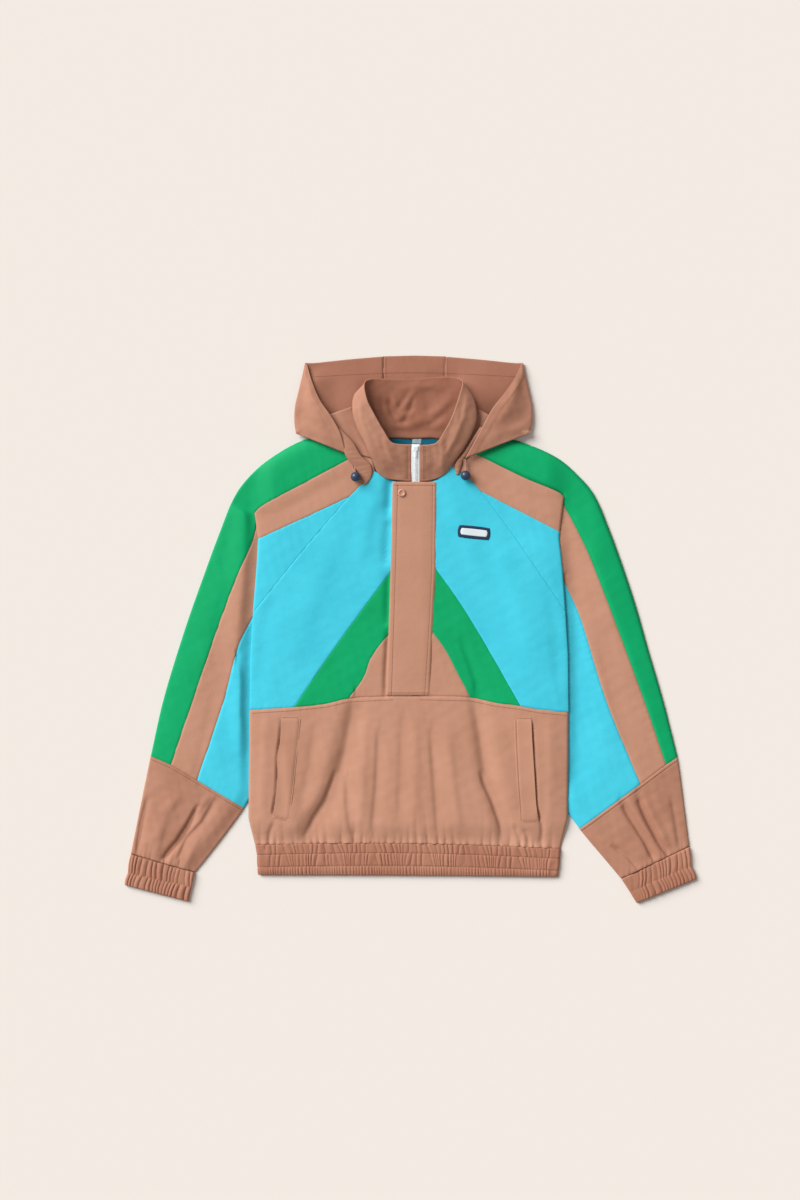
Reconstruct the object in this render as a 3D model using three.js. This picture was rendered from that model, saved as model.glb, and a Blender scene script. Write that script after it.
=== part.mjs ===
import * as THREE from "three";

// A hooded pullover rain jacket, laid face up on a table with the arms beside the body.
// Millimetres. X runs to the wearer's left sleeve, Y to the hood, +Z up from the table.

const CLOTH = 1.6; // wall of every cloth piece
const PLY = CLOTH + 0.3; // step from a piece to the next one that lies on it
const SEAM = 0.25; // each piece stops this far short of the seam line
const SEAM_RISE = 0.92; // share of the forearm seam's bow that its coarse edge follows
const NIP = 2.6; // a piece that runs to a point is cut off this far from it
const TABLE = CLOTH / 2; // middle of the wall of a piece that lies on the table
const SLEEVE_EDGE = TABLE + PLY + 0.2; // upper ply of a sleeve where it turns at its edge
const BODY_EDGE = 7.3; // front of the body where it folds over the sleeve
const HEM_EDGE = 3.0; // front of the body at its side, below the sleeve
const BODY_LOFT = 3.4; // rise of the front from its side fold to the chest
const SLEEVE_LOFT = 4.2; // rise of the sleeve from its edge to its middle
const LAP = 5.2; // back of the body where it climbs over the sleeve
const ZIP_LEFT = 1.4; // the zip shows as a strip between these
const ZIP_RIGHT = 16.5;
const TOGGLE = { radius: 8.7, bore: 2.6, depth: 13 };
const CORD = { diameter: 2, strand: 1.25 };
const SNAP = { radius: 7.4, height: 2.6, dimple: 3.4 };

const BROWN = "#c18f76";
const BLUE = "#54d0e6";
const GREEN = "#00ac6b";
const NAVY = "#2c3a55";
const WHITE = "#eef4f6";
const TEAL = "#0f6f86";

// Seam and edge lines. Each row is one point of the line on the left (l) and on the right (r).
// Outer edge of the shoulder and of the arm, from the neck to the forearm seam.
const OUTER = [
  { l: [-64, 338.5], r: [70, 338.5] },
  { l: [-125, 339], r: [125, 339] },
  { l: [-183, 332], r: [178, 332] },
  { l: [-251, 294], r: [256, 300] },
  { l: [-287, 261], r: [295, 267] },
  { l: [-308, 231], r: [320, 237] },
  { l: [-335, 165], r: [350, 168] },
  { l: [-365, 83.5], r: [392, 47] },
  { l: [-395.5, -4], r: [416, -37] },
  { l: [-432, -124], r: [441.5, -124] },
  { l: [-454, -222], r: [467, -224] },
];
// Green to brown, from the neck to the fold at the armhole, then on down the sleeve.
const STRIPE_TOP = [
  { l: [-70, 316], r: [76, 322] },
  { l: [-111, 295], r: [126, 300] },
  { l: [-194, 251], r: [200, 264] },
  { l: [-262, 213.5], r: [258, 239.5] },
  { l: [-272.5, 203], r: [268.5, 232] },
];
const STRIPE_TOP_SLEEVE = [
  { l: [-272.5, 203], r: [268.5, 232] },
  { l: [-270.5, 183], r: [269, 217] },
  { l: [-277.5, 151], r: [281.5, 193] },
  { l: [-303.5, 92], r: [307.5, 141] },
  { l: [-335, 8], r: [338, 65] },
  { l: [-380.5, -124], r: [408.5, -124] },
  { l: [-419, -237], r: [447, -237] },
];
// Brown to blue, from the neck to the fold, then on down the sleeve.
const STRIPE_LOW = [
  { l: [-62, 276], r: [72, 284] },
  { l: [-85, 253], r: [105, 260] },
  { l: [-107, 231.5], r: [123, 241] },
];
const STRIPE_LOW_RAGLAN = [
  { l: [-107, 231.5], r: [123, 241] },
  { l: [-186, 194.5], r: [192, 205.5] },
  { l: [-266, 158], r: [261, 170] },
];
const STRIPE_LOW_SLEEVE = [
  { l: [-263, 47], r: [260.5, 98] },
  { l: [-275, 23], r: [270, 80] },
  { l: [-299, -25], r: [295, 26] },
  { l: [-326, -124], r: [342, -124] },
  { l: [-373, -264], r: [402, -271] },
];
// Seam of the raglan sleeve over the chest.
const RAGLAN = [
  { l: [-107, 231.5], r: [123, 241] },
  { l: [-174, 154], r: [174, 173] },
  { l: [-222, 95], r: [222, 103] },
  { l: [-275.2, 28], r: [270.8, 32] },
];
// Inner edge of the arm: hidden by the body, then in sight below the forearm seam.
const INNER = [
  { l: [-263, 47], r: [260.5, 98] },
  { l: [-266, -60], r: [261, -60] },
  { l: [-267, -180], r: [262, -200] },
  { l: [-270, -270], r: [266, -300] },
  { l: [-291, -313], r: [296, -349] },
];
const ARM_LOW = [
  { outer: { l: [-454, -222], r: [467, -224] }, inner: { l: [-291, -313], r: [296, -349] } },
  { outer: { l: [-463, -266], r: [473, -266] }, inner: { l: [-313, -343], r: [315, -372] } },
  { outer: { l: [-475, -325], r: [480, -322] }, inner: { l: [-345, -385], r: [343, -405] } },
  { outer: { l: [-488.6, -393], r: [487.6, -380] }, inner: { l: [-377, -425], r: [369, -436] } },
];
const CUFF = [
  { outer: { l: [-488.7, -393.4], r: [487.7, -380.4] }, inner: { l: [-377.1, -425.4], r: [369.1, -436.4] }, puff: 0.4 },
  { outer: { l: [-492, -410], r: [489.6, -397] }, inner: { l: [-381, -439], r: [378, -449] }, puff: 1.3 },
  { outer: { l: [-494, -426], r: [491, -413] }, inner: { l: [-383, -451], r: [384, -459] }, puff: 0.5 },
  { outer: { l: [-498, -438], r: [497, -426] }, inner: { l: [-386.5, -465], r: [391, -470] }, puff: 1.3 },
  { outer: { l: [-499.6, -447], r: [500, -436.5] }, inner: { l: [-388, -476], r: [396, -478.5] }, puff: 0.6 },
];
// Side fold of the body at each height: left and right.
const SIDE = [
  { y: 300, l: -470, r: 470 },
  { y: 245, l: -350, r: 300 },
  { y: 232, l: -330, r: 268.5 },
  { y: 203, l: -272.5, r: 265 },
  { y: 158, l: -266, r: 261 },
  { y: 107, l: -269, r: 266 },
  { y: 32, l: -275, r: 270.5 },
  { y: -43, l: -279.5, r: 275 },
  { y: -141, l: -281, r: 276 },
  { y: -330, l: -283, r: 275 },
  { y: -380, l: -271, r: 263 },
];
// Waist seam, left to right; the chevron and the gores end on it.
const WAIST = [
  { x: -281, y: -141 },
  { x: -203, y: -136 },
  { x: -147, y: -130 },
  { x: -108, y: -121 },
  { x: -30, y: -117 },
  { x: ZIP_LEFT, y: -117 },
  { x: ZIP_RIGHT, y: -117 },
  { x: 104, y: -119 },
  { x: 147, y: -128 },
  { x: 192, y: -134 },
  { x: 222, y: -139.5 },
  { x: 276, y: -145 },
];
// Rows of the hem band: its two ends, how far the row bows up in the middle, and how far the gathers stand.
const HEM = [
  { left: [-271, -376.6], right: [262.5, -383.6], bow: 5.6, puff: 0.4 },
  { left: [-269, -386], right: [261.5, -392.5], bow: 6, puff: 1.2 },
  { left: [-268, -394.5], right: [261, -401], bow: 6.4, puff: 0.4 },
  { left: [-267.5, -405.5], right: [260, -411.5], bow: 6.2, puff: 1.3 },
  { left: [-267, -416], right: [259, -422], bow: 5.4, puff: 0.4 },
  { left: [-266, -429], right: [257, -432.6], bow: 1, puff: 1 },
];
// Outer and inner side of the chevron, from the zip outwards.
const CHEVRON_OUT = [
  { l: [ZIP_LEFT, 146], r: [ZIP_RIGHT, 144] },
  { l: [-35.5, 99], r: [44, 106] },
  { l: [-120, -15], r: [93, 36] },
  { l: [-165, -79], r: [141, -44] },
  { l: [-203, -136], r: [192, -134] },
];
const CHEVRON_IN = [
  { l: [ZIP_LEFT, 32], r: [ZIP_RIGHT, 25] },
  { l: [-38, -9.5], r: [38, -4] },
  { l: [-54, -28], r: [61, -36] },
  { l: [-69, -50], r: [85, -82] },
  { l: [-82, -84.5], r: [97, -104] },
  { l: [-108, -121], r: [104, -119] },
];
const NECK = [
  { l: [ZIP_LEFT, 256.5], r: [ZIP_RIGHT, 256.5] },
  { l: [-30, 259], r: [42, 260] },
  { l: [-62, 276], r: [72, 284] },
];
const PLACKET = [
  { y: 252.8, left: -31, right: 45.2 },
  { y: 103, left: -34.5, right: 43.8 },
  { y: -6, left: -38, right: 37.8 },
  { y: -115.5, left: -42, right: 33.5 },
];
// Pocket welts: inner (seam) and outer (opening) side of each, from the waist down.
const WELT = {
  l: [
    { y: -152, seam: -192, mouth: -225 },
    { y: -222, seam: -197, mouth: -231 },
    { y: -332, seam: -210, mouth: -241.5 },
  ],
  r: [
    { y: -153, seam: 181, mouth: 211 },
    { y: -231, seam: 184, mouth: 214 },
    { y: -338, seam: 191, mouth: 225 },
  ],
};
const PATCH = { x: 111, y: 169, width: 57, height: 22, tilt: -6 };

// Folds of the body front and of the sleeves: a path, its height (a trough is below zero) and its half width.
const BODY_FOLDS = [
  { path: [[-102, -143], [-123, -217], [-141, -300], [-178, -344], [-184, -371]], height: -3.2, width: 11 },
  { path: [[-128, -150], [-146, -225], [-163, -296], [-200, -340]], height: 2.4, width: 13 },
  { path: [[106, -133], [117, -206], [124, -267], [158, -348], [165, -372]], height: -3.2, width: 11 },
  { path: [[128, -142], [142, -192], [174, -253]], height: -2.2, width: 10 },
  { path: [[96, -180], [101, -260], [128, -345]], height: 2.2, width: 13 },
  { path: [[-55, -178], [-58, -270], [-60, -365]], height: -1.6, width: 14 },
  { path: [[33, -178], [36, -270], [34, -365]], height: -1.5, width: 14 },
  { path: [[61, -190], [66, -290], [72, -368]], height: 1.5, width: 13 },
  { path: [[225, -345], [232, -358], [226, -380]], height: -2, width: 9 },
  { path: [[-43, 250], [-44, 180], [-45, 104]], height: -2.6, width: 9 },
  { path: [[-70, 236], [-82, 190], [-90, 140]], height: 2, width: 14 },
  { path: [[-140, 150], [-180, 60], [-215, -40]], height: 1.8, width: 20 },
  { path: [[66, 236], [92, 178], [108, 110]], height: 1.7, width: 16 },
  { path: [[150, 150], [190, 60], [222, -40]], height: 1.8, width: 20 },
  { path: [[-240, 70], [-256, 0], [-262, -90]], height: -1.6, width: 12 },
  { path: [[238, 70], [252, 0], [258, -90]], height: -1.6, width: 12 },
  { path: [[-120, 262], [-175, 232], [-238, 200]], height: -1.4, width: 11 },
  { path: [[130, 270], [180, 246], [235, 216]], height: -1.4, width: 11 },
];
const SLEEVE_FOLDS = [
  { path: [[-291, 234], [-298, 180], [-300, 121]], height: -2.2, width: 10 },
  { path: [[290, 255], [297, 205], [302, 150]], height: -2.2, width: 10 },
  { path: [[-300, 110], [-330, 60], [-352, -30]], height: 2.2, width: 12 },
  { path: [[315, 110], [348, 50], [372, -40]], height: 2.2, width: 12 },
  { path: [[-310, 30], [-338, -60], [-356, -150]], height: -1.8, width: 10 },
  { path: [[322, 20], [352, -70], [380, -170]], height: -1.8, width: 10 },
  { path: [[-357, -294], [-385, -335], [-405, -365], [-432, -409]], height: -3, width: 9 },
  { path: [[-459, -290], [-468, -330], [-480, -391]], height: -1.8, width: 7 },
  { path: [[-400, -280], [-425, -330], [-452, -385]], height: 2.4, width: 11 },
  { path: [[395, -287], [419, -336], [450, -395]], height: -3, width: 9 },
  { path: [[370, -330], [406, -366], [430, -408]], height: -2.4, width: 8 },
  { path: [[425, -285], [452, -330], [470, -380]], height: 2.2, width: 10 },
];

const smooth = THREE.MathUtils.smoothstep;

// The value of column key at height y in a table of rows from the highest y to the lowest.
function atHeight(table, key, y) {
  let i = 0;
  while (i < table.length - 2 && table[i + 1].y > y) i += 1;
  const t = THREE.MathUtils.clamp((table[i].y - y) / (table[i].y - table[i + 1].y), 0, 1);
  return THREE.MathUtils.lerp(table[i][key], table[i + 1][key], t);
}

// n + 1 evenly spaced plan points on the smooth curve through the points, from one of them to another.
function along(points, n, from = 0, to = points.length - 1) {
  const last = points.length - 1;
  const curve = new THREE.CatmullRomCurve3(points.map(([x, y]) => new THREE.Vector3(x, y, 0)), false, "centripetal");
  const fine = Array.from({ length: 241 }, (_, i) => curve.getPoint((from + ((to - from) * i) / 240) / last));
  const reach = [0];
  fine.slice(1).forEach((p, i) => reach.push(reach[i] + p.distanceTo(fine[i])));
  return Array.from({ length: n + 1 }, (_, i) => {
    const want = (reach[240] * i) / n;
    let k = 0;
    while (k < 239 && reach[k + 1] < want) k += 1;
    const p = fine[k].clone().lerp(fine[k + 1], (want - reach[k]) / (reach[k + 1] - reach[k]));
    return [p.x, p.y];
  });
}

// Points in space on the smooth curve through the given ones, so many to each interval.
function through(points, each, from = 0, to = points.length - 1) {
  const curve = new THREE.CatmullRomCurve3(points.map((p) => new THREE.Vector3(...p)), false, "centripetal");
  const count = (to - from) * each;
  return Array.from({ length: count + 1 }, (_, i) => curve.getPoint((from + i / each) / (points.length - 1)).toArray());
}

// n + 1 points on the straight line from a to b.
function straight(a, b, n) {
  return Array.from({ length: n + 1 }, (_, i) => a.map((v, k) => v + ((b[k] - v) * i) / n));
}

const line = (table, side, n, from, to) => along(table.map((row) => row[side]), n, from, to);
const stretch = (table, n, from, to) => along(table.map((row) => [row.x, row.y]), n, from, to);
// The line without the first bit of it, by its tip.
function nipped(points) {
  const [a, b] = points;
  const reach = NIP / Math.hypot(b[0] - a[0], b[1] - a[1]);
  return [a.map((v, k) => v + (b[k] - v) * reach), ...points.slice(1)];
}

const join = (...lines) => lines.reduce((a, b) => a.concat(b.slice(1)));

// n + 1 points down the side fold from one height to another.
function sideFold(side, high, low, n) {
  return Array.from({ length: n + 1 }, (_, i) => {
    const y = high + ((low - high) * i) / n;
    return [atHeight(SIDE, side, y), y];
  });
}

function toPath(x, y, path) {
  let best = { distance: Infinity, t: 0 };
  for (let i = 0; i < path.length - 1; i += 1) {
    const [ax, ay] = path[i];
    const dx = path[i + 1][0] - ax;
    const dy = path[i + 1][1] - ay;
    const s = THREE.MathUtils.clamp(((x - ax) * dx + (y - ay) * dy) / (dx * dx + dy * dy), 0, 1);
    const distance = Math.hypot(x - ax - s * dx, y - ay - s * dy);
    if (distance < best.distance) best = { distance, t: (i + s) / (path.length - 1) };
  }
  return best;
}

function folded(x, y, folds) {
  return folds.reduce((sum, fold) => {
    const { distance, t } = toPath(x, y, fold.path);
    const fade = smooth(t, -0.15, 0.2) * (1 - smooth(t, 0.85, 1.2));
    return sum + fold.height * fade * Math.exp(-((distance / fold.width) ** 2));
  }, 0);
}

const OUTER_PATH = {
  l: [...line(OUTER, "l", 24), ...ARM_LOW.slice(1).map((row) => row.outer.l), CUFF[4].outer.l],
  r: [...line(OUTER, "r", 24), ...ARM_LOW.slice(1).map((row) => row.outer.r), CUFF[4].outer.r],
};
const INNER_PATH = {
  l: [...line(INNER, "l", 12), ...ARM_LOW.slice(1).map((row) => row.inner.l), CUFF[4].inner.l],
  r: [...line(INNER, "r", 12), ...ARM_LOW.slice(1).map((row) => row.inner.r), CUFF[4].inner.r],
};
const sideOf = (x) => (x < 0 ? "l" : "r");

// Middle of the upper ply of a sleeve.
function sleeveHeight(x, y) {
  const side = sideOf(x);
  const out = toPath(x, y, OUTER_PATH[side]).distance;
  const into = y > INNER[0][side][1] ? 40 : toPath(x, y, INNER_PATH[side]).distance;
  const beyond = y > -300 ? Math.abs(x) - Math.abs(atHeight(SIDE, side, y)) : 40;
  const full = (1 - Math.exp(-out / 12)) * smooth(into, 0, 24) * smooth(beyond, 1, 26);
  return SLEEVE_EDGE + full * (SLEEVE_LOFT + folded(x, y, SLEEVE_FOLDS));
}

// Middle of the front of the body.
function bodyHeight(x, y) {
  const side = sideOf(x);
  const inside = Math.max(0, Math.abs(atHeight(SIDE, side, y)) - Math.abs(x));
  const edge = THREE.MathUtils.lerp(HEM_EDGE, BODY_EDGE, smooth(y, -374, -336));
  const loft = BODY_LOFT * (1 - Math.exp(-inside / 14)) + smooth(inside, 0, 12) * folded(x, y, BODY_FOLDS);
  const hem = 1 - 0.35 * smooth(-y, 345, 376);
  const height = Math.max(HEM_EDGE, edge + loft * hem);
  const out = toPath(x, y, OUTER_PATH[side]).distance;
  return y < 150 ? height : SLEEVE_EDGE + (height - SLEEVE_EDGE) * (1 - Math.exp(-out / 9));
}

// The green strip belongs to the shoulder near the neck and to the sleeve below.
function shoulderHeight(x, y) {
  const t = smooth(Math.abs(x), 236, 284);
  return THREE.MathUtils.lerp(bodyHeight(x, y), sleeveHeight(x, y), t);
}

// Back of the body: flat, then over the hidden edge of the sleeve.
function backHeight(x, y) {
  const inside = Math.abs(atHeight(SIDE, sideOf(x), y)) - Math.abs(x);
  const over = (1 - smooth(inside, 16.5, 28)) * smooth(y, -366, -328) * (1 - smooth(y, 110, 190));
  return TABLE + (LAP - TABLE) * over;
}

// A grid of plan points between four sides that share their corners.
function coons(top, bottom, left, right, shares = null) {
  const nu = top.length - 1;
  const nv = left.length - 1;
  return left.map((_, j) =>
    top.map((__, i) => {
      const u = shares ? shares[i] : i / nu;
      const v = j / nv;
      return [0, 1].map((k) => {
        const across = (1 - v) * top[i][k] + v * bottom[i][k] + (1 - u) * left[j][k] + u * right[j][k];
        const ends = (1 - v) * ((1 - u) * top[0][k] + u * top[nu][k]);
        return across - ends - v * ((1 - u) * bottom[0][k] + u * bottom[nu][k]);
      });
    }),
  );
}

// The grid with its border pulled in by the seam clearance.
function drawnIn(grid, by = SEAM) {
  const rows = grid.length - 1;
  const columns = grid[0].length - 1;
  const pulled = (p, q) => {
    const reach = Math.hypot(...p.map((v, k) => q[k] - v)) || 1;
    return p.map((v, k) => v + ((q[k] - v) * by) / reach);
  };
  return grid.map((row, j) =>
    row.map((p, i) => {
      let moved = p;
      if (i === 0 || i === columns) moved = pulled(moved, row[i === 0 ? 1 : columns - 1]);
      if (j === 0 || j === rows) moved = pulled(moved, grid[j === 0 ? 1 : rows - 1][i]);
      return moved;
    }),
  );
}

const parts = new THREE.Group();

function addPart(name, colour, geometry, roughness = 0.6) {
  const material = new THREE.MeshStandardMaterial({ color: colour, roughness, metalness: 0 });
  const mesh = new THREE.Mesh(geometry, material);
  mesh.name = name;
  parts.add(mesh);
}

// A solid from vertices and quads, turned so that its faces look outwards.
function solid(vertices, quads) {
  const triangles = quads.flatMap(([a, b, c, d]) => [[a, b, c], [a, c, d]]);
  const point = (i) => new THREE.Vector3(...vertices[i]);
  const volume = triangles.reduce((sum, [a, b, c]) => sum + point(a).dot(point(b).cross(point(c))), 0);
  const index = triangles.flatMap(([a, b, c]) => (volume < 0 ? [a, c, b] : [a, b, c]));
  const geometry = new THREE.BufferGeometry();
  geometry.setAttribute("position", new THREE.Float32BufferAttribute(vertices.flat(), 3));
  geometry.setIndex(index);
  geometry.computeVertexNormals();
  return geometry;
}

// A closed wall between two grids of the same size: its upper and its lower face.
function wall(upper, lower) {
  const rows = upper.length - 1;
  const columns = upper[0].length - 1;
  const at = (face, j, i) => (face * (rows + 1) + j) * (columns + 1) + i;
  const quads = [];
  for (let j = 0; j < rows; j += 1) {
    for (let i = 0; i < columns; i += 1) {
      quads.push([at(0, j, i), at(0, j, i + 1), at(0, j + 1, i + 1), at(0, j + 1, i)]);
      quads.push([at(1, j, i), at(1, j + 1, i), at(1, j + 1, i + 1), at(1, j, i + 1)]);
    }
  }
  for (let i = 0; i < columns; i += 1) {
    quads.push([at(0, 0, i + 1), at(0, 0, i), at(1, 0, i), at(1, 0, i + 1)]);
    quads.push([at(0, rows, i), at(0, rows, i + 1), at(1, rows, i + 1), at(1, rows, i)]);
  }
  for (let j = 0; j < rows; j += 1) {
    quads.push([at(0, j, 0), at(0, j + 1, 0), at(1, j + 1, 0), at(1, j, 0)]);
    quads.push([at(0, j + 1, columns), at(0, j, columns), at(1, j, columns), at(1, j + 1, columns)]);
  }
  return solid([...upper.flat(), ...lower.flat()], quads);
}

// A cloth piece over a plan grid, its middle at the given height.
function addCloth(name, colour, grid, height) {
  const plan = drawnIn(grid);
  const face = (offset) => plan.map((row) => row.map(([x, y]) => [x, y, height(x, y) + offset]));
  addPart(name, colour, wall(face(CLOTH / 2), face(-CLOTH / 2)));
}

// A cloth piece over a grid of points in space, its wall measured along the surface normals.
function addDraped(name, colour, grid) {
  const rows = grid.length - 1;
  const columns = grid[0].length - 1;
  const at = (j, i) => new THREE.Vector3(...grid[Math.min(Math.max(j, 0), rows)][Math.min(Math.max(i, 0), columns)]);
  const face = (offset) =>
    grid.map((row, j) =>
      row.map((p, i) => {
        const across = at(j, i + 1).sub(at(j, i - 1));
        const down = at(j + 1, i).sub(at(j - 1, i));
        const normal = across.cross(down).normalize();
        return at(j, i).addScaledVector(normal, offset).toArray();
      }),
    );
  addPart(name, colour, wall(face(CLOTH / 2), face(-CLOTH / 2)));
}

// The point at share t of a row that bows up in its middle.
function onRow(from, to, bow, t) {
  const [x, y] = from.map((v, k) => v + (to[k] - v) * t);
  return [x, y + bow * Math.sin(Math.PI * t)];
}

// A flattened tube: each ring has an outer and an inner end in plan; the top follows height, the underside is flat.
function addTube(name, colour, rings, columns, height) {
  const under = 6;
  const skin = (inset, level) =>
    rings.map(({ outer, inner, puff, bow = 0, rise = () => 0 }) => {
      const width = Math.hypot(inner[0] - outer[0], inner[1] - outer[1]);
      const at = (t) => onRow(outer, inner, bow, inset / width + t * (1 - (2 * inset) / width));
      const ring = [];
      for (let i = 0; i <= columns; i += 1) {
        const t = i / columns;
        const [x, flat] = at(t);
        const y = flat + rise(t);
        const wave = puff ? puff * (i % 2 ? 1 : -1) * Math.sin(Math.PI * t) ** 0.5 : 0;
        const end = i === 0 || i === columns;
        ring.push([x, y, end ? TABLE + 0.9 : height(x, y) + CLOTH / 2 - level + wave * (level ? 0.7 : 1)]);
      }
      for (let i = 1; i < under; i += 1) {
        const t = 1 - i / under;
        const [x, y] = at(THREE.MathUtils.clamp(t, 0.02, 0.98));
        ring.push([x, y, level]);
      }
      return ring;
    });
  const outside = skin(0, 0);
  const inside = skin(2, CLOTH);
  const count = outside[0].length;
  const last = rings.length - 1;
  const at = (face, j, i) => (face * (last + 1) + j) * count + (i % count);
  const quads = [];
  for (let i = 0; i < count; i += 1) {
    for (let j = 0; j < last; j += 1) {
      quads.push([at(0, j, i), at(0, j, i + 1), at(0, j + 1, i + 1), at(0, j + 1, i)]);
      quads.push([at(1, j, i), at(1, j + 1, i), at(1, j + 1, i + 1), at(1, j, i + 1)]);
    }
    quads.push([at(0, 0, i + 1), at(0, 0, i), at(1, 0, i), at(1, 0, i + 1)]);
    quads.push([at(0, last, i), at(0, last, i + 1), at(1, last, i + 1), at(1, last, i)]);
  }
  addPart(name, colour, solid([...outside.flat(), ...inside.flat()], quads));
}

const BLUE_SHARES = [0, 0.24, 0.46, 0.64, 0.78, 0.89, 1]; // columns of the blue sleeve piece, closer by the body

// Body front, shoulders and sleeves, left then right.
for (const side of ["l", "r"]) {
  const tag = side === "l" ? "L" : "R";
  const zip = side === "l" ? ZIP_LEFT : ZIP_RIGHT;
  const waist = (n, from, to) => {
    const points = stretch(WAIST, n, from, to);
    return side === "l" ? points.reverse() : points;
  };
  const zipEdge = (high, low, n) => straight([zip, high], [zip, low], n);
  const last = (points) => points[points.length - 1];
  const peak = CHEVRON_OUT[0][side][1];
  const crotch = CHEVRON_IN[0][side][1];
  const chevron = line(CHEVRON_OUT, side, 12);
  const gore = line(CHEVRON_IN, side, 8);
  const armhole = line(RAGLAN, side, 8);
  const armpit = last(armhole);
  const fold = sideFold(side, armpit[1], side === "l" ? -141 : -145, 7);

  addCloth(
    "chest_" + tag,
    BLUE,
    coons(
      line(NECK, side, 10),
      side === "l" ? waist(10, 0, 1) : waist(10, 9, 11),
      join(zipEdge(256.5, peak, 5), chevron),
      join(line(STRIPE_LOW, side, 2), armhole, fold),
    ),
    bodyHeight,
  );
  const chevronSide = nipped(chevron);
  addCloth(
    "chevron_" + tag,
    GREEN,
    coons(
      straight([zip, peak - NIP], chevronSide[0], 5),
      side === "l" ? waist(5, 1, 3) : waist(5, 7, 9),
      join(zipEdge(peak - NIP, crotch, 4), gore),
      chevronSide,
    ),
    bodyHeight,
  );
  const goreSide = nipped(gore);
  addCloth(
    "gore_" + tag,
    BROWN,
    coons(
      straight([zip, crotch - NIP], goreSide[0], 4),
      side === "l" ? waist(4, 3, 5) : waist(4, 6, 7),
      zipEdge(crotch - NIP, -117, 8),
      goreSide,
    ),
    bodyHeight,
  );

  const stripeEnd = [last(line(STRIPE_TOP, side, 12)), last(line(STRIPE_LOW_RAGLAN, side, 9))];
  addCloth(
    "shoulder_stripe_" + tag,
    BROWN,
    coons(
      straight(STRIPE_TOP[0][side], STRIPE_LOW[0][side], 3),
      straight(stripeEnd[0], stripeEnd[1], 3),
      line(STRIPE_TOP, side, 12),
      join(line(STRIPE_LOW, side, 2), line(STRIPE_LOW_RAGLAN, side, 10)),
    ),
    bodyHeight,
  );
  const raglanTop = nipped(line(STRIPE_LOW_RAGLAN, side, 10));
  const raglanLow = nipped(line(RAGLAN, side, 10));
  addCloth(
    "raglan_" + tag,
    BLUE,
    coons(
      straight(raglanTop[0], raglanLow[0], 5),
      sideFold(side, last(raglanTop)[1], armpit[1], 5),
      raglanTop,
      raglanLow,
    ),
    bodyHeight,
  );

  const stripeSleeve = line(STRIPE_TOP_SLEEVE, side, 18, 1, STRIPE_TOP_SLEEVE.length - 1);
  addCloth(
    "sleeve_green_" + tag,
    GREEN,
    coons(
      straight(OUTER[0][side], STRIPE_TOP[0][side], 3),
      straight(last(OUTER)[side], last(STRIPE_TOP_SLEEVE)[side], 3),
      line(OUTER, side, 32),
      join(line(STRIPE_TOP, side, 12), line(STRIPE_TOP_SLEEVE, side, 2, 0, 1), stripeSleeve),
    ),
    shoulderHeight,
  );
  const hidden = [INNER[0][side][0] + (side === "l" ? 0.8 : -0.8), STRIPE_TOP_SLEEVE[1][side][1]];
  addCloth(
    "sleeve_stripe_" + tag,
    BROWN,
    coons(
      straight(STRIPE_TOP_SLEEVE[1][side], hidden, 4),
      straight(last(STRIPE_TOP_SLEEVE)[side], last(STRIPE_LOW_SLEEVE)[side], 4),
      stripeSleeve,
      join(straight(hidden, STRIPE_LOW_SLEEVE[0][side], 5), line(STRIPE_LOW_SLEEVE, side, 13)),
    ),
    sleeveHeight,
  );
  const sleeveLow = nipped(line(STRIPE_LOW_SLEEVE, side, 13));
  const sleeveInner = nipped(line(INNER, side, 13));
  const spread = (a, b) => BLUE_SHARES.map((t) => a.map((v, k) => v + (b[k] - v) * t));
  addCloth(
    "sleeve_blue_" + tag,
    BLUE,
    coons(
      spread(sleeveLow[0], sleeveInner[0]),
      spread(last(sleeveLow), last(sleeveInner)),
      sleeveLow,
      sleeveInner,
      BLUE_SHARES,
    ),
    sleeveHeight,
  );
  const backSeam = [[side === "l" ? -60 : 66, 337.5], RAGLAN[0][side], RAGLAN[1][side], RAGLAN[2][side], INNER[0][side]];
  addCloth(
    "sleeve_back_" + tag,
    BLUE,
    coons(
      straight(OUTER[0][side], backSeam[0], 3),
      straight(last(OUTER)[side], last(INNER)[side], 3),
      line(OUTER, side, 15),
      join(along(backSeam, 6), line(INNER, side, 9)),
    ),
    () => TABLE,
  );
  const rings = (table) => {
    const outer = along(table.map((row) => row.outer[side]), 6);
    const inner = along(table.map((row) => row.inner[side]), 6);
    return outer.map((point, i) => ({ outer: point, inner: inner[i] }));
  };
  // The forearm's top edge rises to the ends of the three strips, and the rise dies away down the arm.
  const strips = [last(OUTER)[side], last(STRIPE_TOP_SLEEVE)[side], last(STRIPE_LOW_SLEEVE)[side], last(INNER)[side]];
  const seamRise = (t) => {
    const [from, to] = [strips[0], strips[3]];
    const x = from[0] + (to[0] - from[0]) * t;
    const k = strips.slice(1, 3).filter((p) => Math.abs(p[0]) > Math.abs(x)).length;
    const [a, b] = [strips[k], strips[k + 1]];
    const along = (x - a[0]) / (b[0] - a[0]);
    return a[1] + (b[1] - a[1]) * along - (from[1] + (to[1] - from[1]) * t);
  };
  const forearm = rings(ARM_LOW).map((ring, j) => ({ ...ring, rise: (t) => Math.max(0, 1 - j / 2) * SEAM_RISE * seamRise(t) }));
  addTube("lower_sleeve_" + tag, BROWN, forearm, 11, sleeveHeight);
  addTube(
    "cuff_" + tag,
    BROWN,
    CUFF.map((row) => ({ outer: row.outer[side], inner: row.inner[side], puff: row.puff })),
    28,
    () => SLEEVE_EDGE + 2.2,
  );
}

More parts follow.
